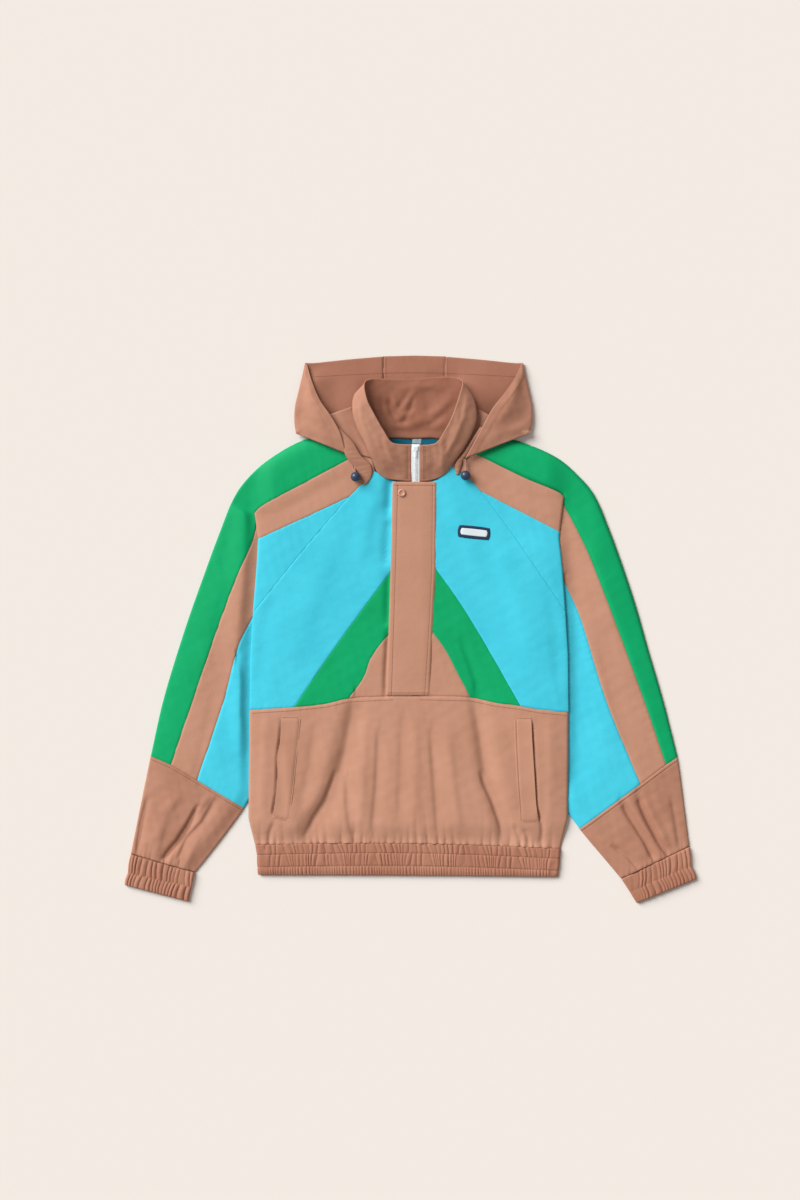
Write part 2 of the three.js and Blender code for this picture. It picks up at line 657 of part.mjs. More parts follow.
// Lower front, hem band and back.
const hemTop = (t) => {
  const [x, y] = onRow(HEM[0].left, HEM[0].right, HEM[0].bow, t);
  return [x, y + 0.2];
};
const hemShares = (n) => Array.from({ length: n + 1 }, (_, i) => i / n);
addCloth(
  "lower_front",
  BROWN,
  coons(
    stretch(WAIST, 24, 0, WAIST.length - 1),
    hemShares(24).map(hemTop),
    sideFold("l", -141, HEM[0].left[1] + 0.2, 11),
    sideFold("r", -145, HEM[0].right[1] + 0.2, 11),
  ),
  bodyHeight,
);
addTube(
  "hem_band",
  BROWN,
  HEM.map(({ left, right, bow, puff }) => ({ outer: left, inner: right, bow, puff })),
  84,
  (x, y) => HEM_EDGE + 1.7 * (1 - Math.exp(-Math.max(0, Math.abs(atHeight(SIDE, sideOf(x), y)) - Math.abs(x)) / 12)),
);
const backShares = [0, 0.018, 0.031, 0.052, 0.15, 0.5, 0.85, 0.948, 0.969, 0.982, 1];
const backSide = (side) => {
  const seam = along([[side === "l" ? -60 : 66, 337.5], ...RAGLAN.slice(0, 3).map((row) => row[side]), INNER[0][side]], 6);
  const low = INNER[0][side][1] - 7;
  const hem = (side === "l" ? HEM[0].left[1] : HEM[0].right[1]) + 1.4;
  return [...seam, ...sideFold(side, low, hem, 11)];
};
addCloth(
  "back_body",
  BLUE,
  coons(
    backShares.map((t) => [THREE.MathUtils.lerp(-60, 66, t), 337.5]),
    backShares.map(hemTop).map(([x, y]) => [x, y + 1.2]),
    backSide("l"),
    backSide("r"),
    backShares,
  ),
  backHeight,
);

// What lies on the front: placket with its snap, pocket welts and a blank patch.
const onFront = (x, y) => bodyHeight(x, y) + PLY + 0.4;
addCloth(
  "placket",
  BROWN,
  Array.from({ length: 18 }, (_, j) => {
    const y = THREE.MathUtils.lerp(PLACKET[0].y, PLACKET[3].y, j / 17);
    return straight([atHeight(PLACKET, "left", y), y], [atHeight(PLACKET, "right", y), y], 4);
  }),
  onFront,
);
for (const side of ["l", "r"]) {
  const rows = WELT[side];
  const grid = Array.from({ length: 11 }, (_, j) => {
    const y = THREE.MathUtils.lerp(rows[0].y, rows[2].y, j / 10);
    return straight([atHeight(rows, "seam", y), y], [atHeight(rows, "mouth", y), y], 3);
  });
  addCloth(side === "l" ? "pocket_welt_L" : "pocket_welt_R", BROWN, grid, onFront);
}
const patchTurn = THREE.MathUtils.degToRad(PATCH.tilt);
const patchPoint = (u, v) => [
  PATCH.x + u * PATCH.width * Math.cos(patchTurn) - v * PATCH.height * Math.sin(patchTurn),
  PATCH.y + u * PATCH.width * Math.sin(patchTurn) + v * PATCH.height * Math.cos(patchTurn),
];
addCloth("chest_patch", NAVY, [0.5, 0, -0.5].map((v) => [-0.5, -0.25, 0, 0.25, 0.5].map((u) => patchPoint(u, v))), onFront);

const snapProfile = [
  [0, 0],
  [SNAP.radius, 0],
  [SNAP.radius, SNAP.height * 0.55],
  [SNAP.radius - 1.2, SNAP.height],
  [SNAP.dimple + 1, SNAP.height],
  [SNAP.dimple, SNAP.height * 0.7],
  [0, SNAP.height * 0.7],
].map(([r, z]) => new THREE.Vector2(r, z));
const snap = new THREE.LatheGeometry(snapProfile, 20).rotateX(Math.PI / 2);
snap.translate(-15, 238, onFront(-15, 238) + CLOTH / 2 + 0.25);
addPart("snap", BROWN, snap, 0.4);

// Collar: sections round the neck from the left of the zip by the back to the right of it.
const COLLAR = [
  { base: [ZIP_LEFT, 258.5], mid: [ZIP_LEFT, 290, 22], rim: [ZIP_LEFT, 321.7, 31] },
  { base: [-20, 260], mid: [-21, 292, 23], rim: [-22, 322.5, 32] },
  { base: [-42, 266], mid: [-47, 299, 25], rim: [-33, 326, 34] },
  { base: [-55, 277], mid: [-67, 315, 26], rim: [-46, 345, 37] },
  { base: [-60, 291], mid: [-84, 345, 26], rim: [-62, 373, 38] },
  { base: [-63, 304], mid: [-99, 378, 24], rim: [-75, 399, 37] },
  { base: [-66, 318], mid: [-98, 402, 17], rim: [-79, 430, 28] },
  { base: [-58, 332], mid: [-80, 388, 11], rim: [-66, 437, 18] },
  { base: [-36, 340.5], mid: [-42, 388, 7.5], rim: [-42, 437.5, 13] },
  { base: [5, 340.5], mid: [5, 388, 7], rim: [8, 438, 12] },
  { base: [44, 340.5], mid: [50, 388, 7.5], rim: [50, 441, 13] },
  { base: [64, 332], mid: [86, 390, 11], rim: [78, 440, 18] },
  { base: [72, 320], mid: [109, 398, 18], rim: [90, 432, 28] },
  { base: [73, 306], mid: [115, 376, 24], rim: [83, 402, 37] },
  { base: [72, 293], mid: [106, 347, 26], rim: [72, 370, 38] },
  { base: [67, 279], mid: [86, 316, 27], rim: [59, 345, 37] },
  { base: [54, 267], mid: [60, 297, 25], rim: [45, 325, 34] },
  { base: [35, 260], mid: [36, 291, 23], rim: [34, 321.5, 32] },
  { base: [ZIP_RIGHT, 258], mid: [ZIP_RIGHT, 290, 22], rim: [ZIP_RIGHT, 321, 31] },
];
const collarBase = ([x, y]) => [x, y, (y > 336 ? TABLE : bodyHeight(x, y)) + PLY + 0.3];
const collarSections = COLLAR.map(({ base, mid, rim }) => through([collarBase(base), mid, rim], 3));
const collarLevels = collarSections[0].map((_, k) => through(collarSections.map((section) => section[k]), 2));
addDraped("collar", BROWN, drawnIn(collarLevels));
addCloth("neck_facing", TEAL, [336.5, 322, 306].map((y) => straight([-50, y], [56, y], 6)), () => TABLE + PLY);

// The zip runs up the collar and down under the placket.
const zipRows = [
  ...collarSections[0].map(([, y, z]) => ({ y, z })).reverse(),
  ...Array.from({ length: 17 }, (_, j) => ({ y: 255.6 - j * 23.2, z: null })),
];
addDraped(
  "zip",
  WHITE,
  drawnIn(zipRows.map(({ y, z }) => straight([ZIP_LEFT, y], [ZIP_RIGHT, y], 1).map(([x]) => [x, y, z ?? bodyHeight(x, y)]))),
);

// Hood, laid open: its base on the table and its sides folded over, each side a row of sections.
// seam is on the crown, fold is where the side turns over, rim is the edge of the face opening.
const HOOD = {
  l: [
    { seam: [-46.2, 477.3], fold: [-184, 465.5, 3.2], rim: [-180.5, 462.5, 5] },
    { seam: [-46.2, 450], fold: [-188.5, 444, 5], rim: [-173, 436, 12] },
    { seam: [-46.2, 423], fold: [-195.5, 415, 6.5], rim: [-158, 400, 18] },
    { seam: [-46.2, 396], fold: [-201.5, 388, 7.5], rim: [-138, 371, 22] },
    { seam: [-46.2, 369], fold: [-202.4, 362, 8], rim: [-122, 342, 23] },
    { seam: [-46.2, 342], fold: [-199.6, 342, 9], rim: [-112, 306.5, 21] },
  ],
  r: [
    { seam: [60.6, 476.8], fold: [197, 465.5, 3.2], rim: [193.5, 462.5, 5] },
    { seam: [60.6, 450], fold: [200.5, 444, 5], rim: [183, 440, 12] },
    { seam: [60.6, 423], fold: [207, 415, 6.5], rim: [165, 413, 18] },
    { seam: [60.6, 396], fold: [212, 388, 7.5], rim: [143, 385, 22] },
    { seam: [60.6, 369], fold: [212.4, 362, 8], rim: [120.5, 344, 23] },
    { seam: [60.6, 342], fold: [207, 342, 9], rim: [95, 297.5, 20] },
  ],
};
// Casing of the drawcord along the rim, from under the side of the hood to its tip.
const CASING = {
  l: [
    { out: [-131, 352], in: [-122, 349], z: 20.4 },
    { out: [-119, 326], in: [-100, 326], z: 19.2 },
    { out: [-113, 303], in: [-86, 303], z: 18 },
    { out: [-98.4, 283.8], in: [-69, 286], z: 15.6 },
    { out: [-88, 267], in: [-67, 271], z: 13.8 },
    { out: [-81.5, 251.5], in: [-74, 256], z: 13 },
  ],
  r: [
    { out: [129, 352], in: [121, 352], z: 20.6 },
    { out: [113, 328], in: [104, 326], z: 19.4 },
    { out: [99, 304], in: [88, 302], z: 17.8 },
    { out: [92, 295], in: [79.5, 291], z: 16 },
    { out: [88, 282], in: [78, 279], z: 14 },
    { out: [85.5, 272], in: [80, 270], z: 13 },
  ],
};
// Part of the hood by the neck seam, seen between its rim and the collar: far and near ends of its two edges.
const HOOD_NECK = {
  l: { out: [[-141, 375], [-97, 306]], in: [[-102, 391], [-73, 304]] },
  r: { out: [[139, 373], [102, 315]], in: [[114, 388], [82, 303]] },
};
const hoodOver = ([x, y, z]) => [x, y, y < 346 ? Math.max(z, shoulderHeight(x, y) + PLY + 1) : z];
const onTable = ([x, y, z]) => [x, y, Math.max(z, TABLE)];
addCloth(
  "hood_crown",
  BROWN,
  coons(
    [-46.2, -19.5, 7.2, 34, 60.6].map((x) => [x, 478.6 - Math.abs(x - 7) / 40]),
    [-46.2, -19.5, 7.2, 34, 60.6].map((x) => [x, 342]),
    straight([-46.2, 477.3], [-46.2, 342], 6),
    straight([60.6, 477.3], [60.6, 342], 6),
  ),
  () => TABLE,
);
for (const side of ["l", "r"]) {
  const tag = side === "l" ? "L" : "R";
  const out = side === "l" ? -1 : 1;
  const sections = HOOD[side].map(({ seam, fold, rim }) => {
    const wing = Math.abs(fold[0] - rim[0]);
    const over = Math.min(13, 0.3 * wing);
    const base = (share) => [THREE.MathUtils.lerp(seam[0], fold[0], share), THREE.MathUtils.lerp(seam[1], fold[1], share), TABLE];
    const turned = [fold[0] - out * over, THREE.MathUtils.lerp(fold[1], rim[1], over / wing), fold[2] + Math.min(4.5, over)];
    const middle = fold.map((v, k) => v + (rim[k] - v) * 0.6);
    middle[2] += Math.min(3, 0.1 * wing);
    return through([base(0), base(0.45), [fold[0] - out * 12, fold[1], TABLE + 0.4], fold, turned, middle, rim], 2);
  });
  const columns = sections[0].map((_, k) => through(sections.map((section) => section[k]), 2));
  const fromFold = 6;
  addDraped(
    "hood_side_" + tag,
    BROWN,
    drawnIn(columns.map((column, k) => column.map((p) => (k >= fromFold ? hoodOver(p) : onTable(p))))),
  );
  const casing = CASING[side];
  addDraped("hood_casing_" + tag, BROWN, through(casing.map((row) => [...row.out, row.z]), 2).map((p, j) => {
    const q = through(casing.map((row) => [...row.in, row.z]), 2)[j];
    return straight(p, q, 2);
  }));
  const neck = HOOD_NECK[side];
  addDraped(
    "hood_neck_" + tag,
    BROWN,
    Array.from({ length: 6 }, (_, j) => {
      const level = 13.4 + 0.5 * Math.sin((Math.PI * j) / 5);
      const a = neck.out[0].map((v, k) => THREE.MathUtils.lerp(v, neck.out[1][k], j / 5));
      const b = neck.in[0].map((v, k) => THREE.MathUtils.lerp(v, neck.in[1][k], j / 5));
      return straight([...a, level], [...b, level - 1.2], 3);
    }),
  );
}

// Toggles at the tips of the rim, each on a loop of elastic cord that turns inside its bore.
const TOGGLES = {
  l: { centre: [-95.5, 266], exit: [-103, 300], drop: 7.9 },
  r: { centre: [96, 268.2], exit: [95, 297], drop: 2.5 },
};
for (const side of ["l", "r"]) {
  const tag = side === "l" ? "L" : "R";
  const { centre, exit, drop } = TOGGLES[side];
  const z = bodyHeight(...centre) + CLOTH / 2 + 0.8 + TOGGLE.radius;
  const away = new THREE.Vector2(exit[0] - centre[0], exit[1] - centre[1]).normalize();
  const profile = [];
  const mouth = Math.asin(TOGGLE.bore / TOGGLE.radius);
  for (let i = 0; i <= 7; i += 1) {
    const a = Math.PI - ((Math.PI - mouth) * i) / 7;
    profile.push(new THREE.Vector2(i ? TOGGLE.radius * Math.sin(a) : 0, TOGGLE.radius * Math.cos(a)));
  }
  profile.push(new THREE.Vector2(TOGGLE.bore, TOGGLE.radius - TOGGLE.depth));
  profile.push(new THREE.Vector2(0, TOGGLE.radius - TOGGLE.depth));
  const ball = new THREE.LatheGeometry(profile, 12);
  ball.rotateZ(Math.atan2(away.y, away.x) - Math.PI / 2);
  ball.translate(centre[0], centre[1], z);
  addPart("toggle_" + tag, NAVY, ball, 0.35);

  const bore = (along3, aside) => new THREE.Vector3(centre[0] + away.x * along3 - away.y * aside, centre[1] + away.y * along3 + away.x * aside, z);
  const start = (aside) => new THREE.Vector3(exit[0] - away.y * aside, exit[1] + away.x * aside, z - drop);
  const slack = (aside) => bore(14.5, aside).setZ(z - 0.92 * drop);
  const deep = TOGGLE.radius - TOGGLE.depth + CORD.diameter / 2 + 0.4;
  const loop = new THREE.CatmullRomCurve3([
    start(CORD.strand),
    slack(CORD.strand),
    bore(TOGGLE.radius + 1.5, CORD.strand),
    bore(TOGGLE.radius - 3, CORD.strand),
    bore(deep + CORD.strand, CORD.strand),
    bore(deep, 0),
    bore(deep + CORD.strand, -CORD.strand),
    bore(TOGGLE.radius - 3, -CORD.strand),
    bore(TOGGLE.radius + 1.5, -CORD.strand),
    slack(-CORD.strand),
    start(-CORD.strand),
  ]);
  const section = new THREE.Shape();
  section.absarc(0, 0, CORD.diameter / 2, 0, 2 * Math.PI, false);
  const tube = new THREE.ExtrudeGeometry(section, { steps: 18, extrudePath: loop, curveSegments: 3 });
  addPart("cord_" + tag, BROWN, tube, 0.8);
}

const box = new THREE.Box3().setFromObject(parts);
parts.position.set(-(box.min.x + box.max.x) / 2, -(box.min.y + box.max.y) / 2, -box.min.z);

export default parts;
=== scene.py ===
import math

import bmesh
import bpy
import numpy as np
from mathutils import Matrix, Vector
from mathutils.bvhtree import BVHTree


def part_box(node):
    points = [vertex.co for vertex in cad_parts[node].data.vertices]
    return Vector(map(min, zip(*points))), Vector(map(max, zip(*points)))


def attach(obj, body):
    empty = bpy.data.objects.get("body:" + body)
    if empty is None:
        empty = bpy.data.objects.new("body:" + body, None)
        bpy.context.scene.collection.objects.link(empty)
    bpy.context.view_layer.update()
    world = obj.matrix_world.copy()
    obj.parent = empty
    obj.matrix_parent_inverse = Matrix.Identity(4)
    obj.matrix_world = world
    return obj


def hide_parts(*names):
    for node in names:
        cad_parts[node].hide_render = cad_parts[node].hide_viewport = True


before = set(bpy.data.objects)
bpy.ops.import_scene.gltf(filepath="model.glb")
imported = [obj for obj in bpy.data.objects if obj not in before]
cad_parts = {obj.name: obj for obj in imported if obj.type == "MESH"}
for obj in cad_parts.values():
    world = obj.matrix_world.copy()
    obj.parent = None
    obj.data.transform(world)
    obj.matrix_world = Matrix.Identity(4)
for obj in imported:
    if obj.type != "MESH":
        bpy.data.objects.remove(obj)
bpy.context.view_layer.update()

# ---------------------------------------------------------------- camera, floor and light
# The jacket lies on a pale, smooth studio table under one wide, soft light from the upper left.
# The camera hangs straight above it with a long lens, so the edges hardly converge.
MM = 0.001
LENS = 85.0  # mm
SENSOR = 36  # mm, its long side
VIEW_LONG_SIDE = 2.1  # m, on the floor
VIEW_CENTRE = (-0.0184, 0.0512)
FLOOR_DROP = 0.0006  # m, so that the floor never cuts the lowest cloth


def colour(hex_value):
    """An sRGB hex colour as linear RGBA."""
    parts = [int(hex_value[i : i + 2], 16) / 255 for i in (1, 3, 5)]
    return [c / 12.92 if c <= 0.04045 else ((c + 0.055) / 1.055) ** 2.4 for c in parts] + [1.0]


def add_node(material, kind, settings=None, **links):
    """A node with its settings; each link is socket=(node, output) or socket=value."""
    node = material.node_tree.nodes.new(kind)
    for key, value in (settings or {}).items():
        setattr(node, key, value)
    for key, value in links.items():
        socket = node.inputs[int(key[1:])] if key[1:].isdigit() else node.inputs[key.replace("_", " ")]
        if isinstance(value, tuple) and hasattr(value[0], "outputs"):
            material.node_tree.links.new(value[0].outputs[value[1]], socket)
        else:
            socket.default_value = value
    return node


def new_material(name, **settings):
    """A material and its shader; each setting is a socket of the shader."""
    material = bpy.data.materials.new(name)
    material.use_nodes = True
    shader = material.node_tree.nodes["Principled BSDF"]
    for key, value in settings.items():
        shader.inputs[key.replace("_", " ")].default_value = value
    return material, shader


def two_tones(name, scale, detail, dark, light, relief=0, **settings):
    """A material with a fine grain between two tones of one colour, and with some relief, 0.2 mm deep."""
    material, shader = new_material(name, **settings)
    where = add_node(material, "ShaderNodeTexCoord")
    grain = add_node(material, "ShaderNodeTexNoise", Vector=(where, "Object"), Scale=scale, Detail=detail)
    tone = add_node(
        material, "ShaderNodeMix", {"data_type": "RGBA"}, _0=(grain, "Fac"), _6=colour(dark), _7=colour(light)
    )
    material.node_tree.links.new(tone.outputs[2], shader.inputs["Base Color"])
    if relief:
        bump = add_node(material, "ShaderNodeBump", Height=(grain, "Fac"), Strength=relief, Distance=0.2 * MM)
        material.node_tree.links.new(bump.outputs["Normal"], shader.inputs["Normal"])
    return material


def add_piece(name, bm, material):
    """An object of this name from a bmesh, which is used up."""
    data = bpy.data.meshes.new(name)
    bm.to_mesh(data)
    bm.free()
    data.materials.append(material)
    piece = bpy.data.objects.new(name, data)
    scene.collection.objects.link(piece)
    return piece


scene = bpy.context.scene
scene.view_settings.view_transform = "Standard"
camera_data = bpy.data.cameras.new("camera")
camera_data.lens = LENS
camera_data.sensor_width = SENSOR
camera_data.clip_end = 20
camera = bpy.data.objects.new("camera", camera_data)
camera.location = (VIEW_CENTRE[0], VIEW_CENTRE[1], VIEW_LONG_SIDE * LENS / SENSOR)
scene.collection.objects.link(camera)
scene.camera = camera

PAINTED_BOARD, _ = new_material(
    "matt_painted_board", Base_Color=colour("#e9e1da"), Roughness=0.9, Specular_IOR_Level=0.1
)
bm = bmesh.new()
bmesh.ops.create_grid(bm, x_segments=1, y_segments=1, size=6, matrix=Matrix.Translation((0, 0, -FLOOR_DROP)))
floor = add_piece("floor", bm, PAINTED_BOARD)

world = bpy.data.worlds.new("studio")
world.use_nodes = True
world.node_tree.nodes["Background"].inputs["Color"].default_value = (1.0, 0.94, 0.9, 1)
world.node_tree.nodes["Background"].inputs["Strength"].default_value = 0.37
scene.world = world

key_data = bpy.data.lights.new("key_soft_light", "SUN")
key_data.energy = 4.3
key_data.color = (0.96, 0.99, 1.0)
key_data.angle = math.radians(40)
key_light = bpy.data.objects.new("key_soft_light", key_data)
key_light.rotation_euler = Vector((1.0, -0.8, -0.86)).to_track_quat("-Z", "Y").to_euler()
scene.collection.objects.link(key_light)

# ---------------------------------------------------------------- drawcords and toggles
# Each side of the hood is drawn in by a loop of round elastic cord, 2 mm thick, that leaves the tip of the rim.
# The loop turns inside the bore of a moulded nylon ball, the toggle, and both its ends run back into the casing.
SHIFT = (-0.2, 0.06)  # garment centre line to the middle of the frame, mm
# The toggle's ball and bore, and the cord's thickness and how far each strand is from the bore's middle, mm.
TOGGLE = {"radius": 8.7, "bore": 2.6, "lip": 0.9, "depth": 13}
CORD = {"diameter": 2, "strand": 1.25}
TOGGLES = {
    "l": {"node": "toggle_L", "cord": "cord_L", "centre": (-95.5, 266), "exit": (-103, 300), "drop": 7.9},
    "r": {"node": "toggle_R", "cord": "cord_R", "centre": (96, 268.2), "exit": (95, 297), "drop": 2.5},
}


def to_frame(x, y, z):
    """A point of the garment in mm as a place in the frame."""
    return ((x + SHIFT[0]) * MM, (y + SHIFT[1]) * MM, z * MM)


def curve_at(points, where):
    """Points on the centripetal curve through the given ones; where counts from point to point."""
    p = np.asarray(points, float)
    p = np.vstack([2 * p[0] - p[1], p, 2 * p[-1] - p[-2]])
    where = np.clip(np.asarray(where, float), 0, len(points) - 1)
    k = np.minimum(where.astype(int), len(points) - 2)
    w = (where - k)[:, None]
    a, b, c, d = p[k], p[k + 1], p[k + 2], p[k + 3]
    gap = lambda q, r: np.maximum(np.linalg.norm(r - q, axis=1), 1e-9)[:, None] ** 0.5
    t0, t1, t2 = gap(a, b), gap(b, c), gap(c, d)
    m1 = ((b - a) / t0 - (c - a) / (t0 + t1) + (c - b) / t1) * t1
    m2 = ((c - b) / t1 - (d - b) / (t1 + t2) + (d - c) / t2) * t1
    return b + m1 * w + (-3 * b + 3 * c - 2 * m1 - m2) * w**2 + (2 * b - 2 * c + m1 + m2) * w**3


def length_of(points):
    return float(np.linalg.norm(np.diff(points, axis=0), axis=1).sum())


def add_grid(name, points, material, closed=False):
    """A smooth mesh over a grid of points in mm; closed joins its first and last columns."""
    rows, columns = points.shape[0] - 1, points.shape[1] - 1
    across = np.linalg.norm(np.diff(points, axis=1), axis=2).mean(axis=0)
    down = np.linalg.norm(np.diff(points, axis=0), axis=2).mean(axis=1)
    across, down = (np.concatenate([[0], np.cumsum(a)]) for a in (across, down))
    bm = bmesh.new()
    bmesh.ops.create_grid(bm, x_segments=columns, y_segments=rows, size=0.5)
    bm.verts.ensure_lookup_table()
    sizes = bm.loops.layers.uv.new("cloth")  # mm on the cloth, so a pattern keeps its real size
    for face in bm.faces:
        for loop in face.loops:
            j, i = divmod(loop.vert.index, columns + 1)
            loop[sizes].uv = (across[i], down[j])
    for vertex, (x, y, z) in zip(bm.verts, points.reshape(-1, 3)):
        vertex.co = to_frame(x, y, z)
    if closed:
        bmesh.ops.remove_doubles(bm, verts=bm.verts, dist=2e-6)
    bm.normal_update()
    middle = points[..., 2].mean() * MM if closed else -1
    outward = sum((f.calc_center_median().z - middle) * f.normal.z * f.calc_area() for f in bm.faces)
    if outward < 0:
        bmesh.ops.reverse_faces(bm, faces=bm.faces)
    for face in bm.faces:
        face.smooth = True
    return add_piece(name, bm, material)


def lathe(profile, steps, merge):
    """A bmesh turned round the z axis from a profile of radii and heights."""
    bm = bmesh.new()
    verts = [bm.verts.new((r, 0, z)) for r, z in profile]
    edges = [bm.edges.new(pair) for pair in zip(verts[:-1], verts[1:])]
    bmesh.ops.spin(
        bm, geom=verts + edges, cent=(0, 0, 0), axis=(0, 0, 1), angle=2 * math.pi, steps=steps, use_merge=True
    )
    bmesh.ops.remove_doubles(bm, verts=bm.verts, dist=merge)
    bmesh.ops.recalc_face_normals(bm, faces=bm.faces)
    for face in bm.faces:
        face.smooth = True
    return bm


# Braided elastic cord: crossing matt yarns over a rubber core, drawn at a 1.4 mm pitch so that they show.
CORD_BRAID, shader = new_material("braided_elastic_cord", Roughness=0.8)
cloth_size = add_node(CORD_BRAID, "ShaderNodeUVMap", {"uv_map": "cloth"})
yarns = []
for turn in (1, -1):
    slanted = add_node(
        CORD_BRAID, "ShaderNodeMapping", Vector=(cloth_size, "UV"), Rotation=(0, 0, turn * math.radians(40))
    )
    wave = {"Vector": (slanted, "Vector"), "Scale": math.pi / 10 / 1.4, "Distortion": 0.3}
    yarns.append(add_node(CORD_BRAID, "ShaderNodeTexWave", **wave))
braid = add_node(
    CORD_BRAID, "ShaderNodeMath", {"operation": "MAXIMUM"}, _0=(yarns[0], "Fac"), _1=(yarns[1], "Fac")
)
braid_bump = add_node(CORD_BRAID, "ShaderNodeBump", Height=(braid, "Value"), Strength=0.6, Distance=0.2 * MM)
# The yarns are drawn darker where the braid's relief is low: painted shade between them.
braid_painted_shade = add_node(
    CORD_BRAID,
    "ShaderNodeMix",
    {"data_type": "RGBA"},
    _0=(braid, "Value"),
    _6=colour("#8f6452"),
    _7=colour("#b98a75"),
)
CORD_BRAID.node_tree.links.new(braid_painted_shade.outputs[2], shader.inputs["Base Color"])
CORD_BRAID.node_tree.links.new(braid_bump.outputs["Normal"], shader.inputs["Normal"])

# Injection-moulded nylon with a polished tool finish: smooth, with a soft highlight and a trace of flow marks.
MOULDED_NYLON = two_tones(
    "moulded_navy_nylon", 160.0, 3.0, "#26344c", "#31445e", relief=0.12, Roughness=0.34, IOR=1.53
)

for side, toggle in TOGGLES.items():
    low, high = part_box(toggle["node"])
    centre = np.array([*toggle["centre"], (low[2] + high[2]) / 2 / MM])
    away = np.array([*toggle["exit"], centre[2]]) - centre
    reach = float(np.linalg.norm(away))
    away /= reach
    aside = np.array([-away[1], away[0], 0])

    # The ball is turned from its profile: a sphere with a round-lipped blind bore on the cord's side.
    radius, bore, lip = TOGGLE["radius"], TOGGLE["bore"], TOGGLE["lip"]
    floor_of_bore = radius - TOGGLE["depth"]
    mouth = math.asin((bore + lip) / radius)
    profile = [(radius * math.sin(a), radius * math.cos(a)) for a in np.linspace(math.pi, mouth, 22)]
    top = profile[-1][1]
    for a in np.linspace(0.3, math.pi / 2, 5):
        profile.append((bore + lip * (1 - math.sin(a)), top - lip * (1 - math.cos(a)) * 0.9))
    bm = lathe(profile + [(bore, floor_of_bore), (0, floor_of_bore)], 36, 1e-4)
    for vertex in bm.verts:
        x, y, z = vertex.co
        vertex.co = to_frame(*(centre + away * z + aside * x + np.array([0, 0, y])))
    bmesh.ops.recalc_face_normals(bm, faces=bm.faces)
    ball = add_piece("toggle_ball_" + side, bm, MOULDED_NYLON)
    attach(ball, "root")
    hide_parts(toggle["node"])

    # The cord comes down its one side, turns near the floor of the bore and goes back up the other.
    deep = floor_of_bore + CORD["diameter"] / 2 + 0.4
    route = [(reach, 1, -toggle["drop"]), (14.5, 1, -0.92 * toggle["drop"])]
    route += [(r, 1, 0) for r in (radius + 1.5, radius - 3, deep + CORD["strand"])]
    route += [(deep, 0, 0)] + [(r, -s, drop) for r, s, drop in reversed(route)]
    route = [centre + away * r + aside * s * CORD["strand"] + (0, 0, drop) for r, s, drop in route]
    path = curve_at(route, np.linspace(0, len(route) - 1, 97))
    along = np.gradient(path, axis=0)
    along /= np.linalg.norm(along, axis=1)[:, None]
    out = np.cross(along, (0, 0, 1))
    out /= np.linalg.norm(out, axis=1)[:, None]
    over = np.cross(out, along)
    rings = []
    for a in np.linspace(0, 2 * math.pi, 13):
        rings.append(path + CORD["diameter"] / 2 * (math.cos(a) * out + math.sin(a) * over))
    cord = add_grid("drawcord_" + side, np.stack(rings, axis=1), CORD_BRAID, closed=True)
    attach(cord, "root")
    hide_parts(toggle["cord"])

# ---------------------------------------------------------------- nylon cloth and the back of the jacket
# The shell is one weight of crisp plain-weave nylon taffeta in brown, blue and green, unlined.
# The back lies flat on the table; the raglan sleeve backs join it along the armhole seams.
WALL = 1.6  # wall of the solids, mm
PLY = WALL + 0.3  # from one ply to the next, mm
TABLE = WALL / 2  # middle of a ply that lies on the table
CLOTH = 0.7  # thickness of the cloth as it is drawn, mm
DOUBLED = 1.3  # thickness of a doubled strip, mm
STEP = 3.2  # usual spacing of the cloth's mesh, mm
LEAST_SHARE = 0.31  # least share of its surrounding rectangle that a flat cut fills


SIDES = (("l", "L", -1), ("r", "R", 1))  # left and right: key, mark in a name, direction of x


def smooth(x, low, high):
    """A soft step from 0 at low to 1 at high."""
    t = np.clip((np.asarray(x, float) - low) / (high - low), 0, 1)
    return t * t * (3 - 2 * t)


def bell(x, width):
    """1 at zero, dying away on both sides."""
    return np.exp(-((x / width) ** 2))


def line(table, side=None, start=0, end=None):
    """A dense polyline through a table's points, from one row to another."""
    points = [row[side] if side else row for row in table]
    end = len(points) - 1 if end is None else end
    return curve_at(points, np.linspace(start, end, 40 * (end - start) + 1))


def straight(a, b):
    return np.array([a, b], float)


def join(*lines):
    """One line from lines that each start where the one before ends."""
    return np.vstack([lines[0]] + [part[1:] for part in lines[1:]])


def resampled(points, shares):
    """Points of a line at shares of its length."""
    points = np.asarray(points, float)
    reach = np.concatenate([[0], np.cumsum(np.linalg.norm(np.diff(points, axis=0), axis=1))])
    return np.stack([np.interp(shares * reach[-1], reach, points[:, k]) for k in range(points.shape[1])], axis=1)


def shares_for(length, step, fine=True):
    """Shares of a side for the mesh: even steps, with closer ones by both ends where the cloth rolls into a seam."""
    ends = [0, 0.7, 1.5, 2.6, 4.2] if fine and length > 24 else [0]
    inner = np.linspace(ends[-1], length - ends[-1], max(2, round((length - 2 * ends[-1]) / step) + 1))
    return np.concatenate([ends[:-1], inner, [length - e for e in reversed(ends[:-1])]]) / length


def coons(top, bottom, left, right, step=STEP, fine=True):
    """A plan grid between four sides; rows run from the top to the bottom."""
    us = shares_for(max(length_of(top), length_of(bottom), 6), step, fine)
    vs = shares_for(max(length_of(left), length_of(right), 6), step, fine)
    t, b = resampled(top, us), resampled(bottom, us)
    l, r = resampled(left, vs), resampled(right, vs)
    u, v = us[None, :, None], vs[:, None, None]
    across = (1 - v) * t[None] + v * b[None] + (1 - u) * l[:, None] + u * r[:, None]
    ends = (1 - v) * ((1 - u) * t[0] + u * t[-1]) + v * ((1 - u) * b[0] + u * b[-1])
    return across - ends


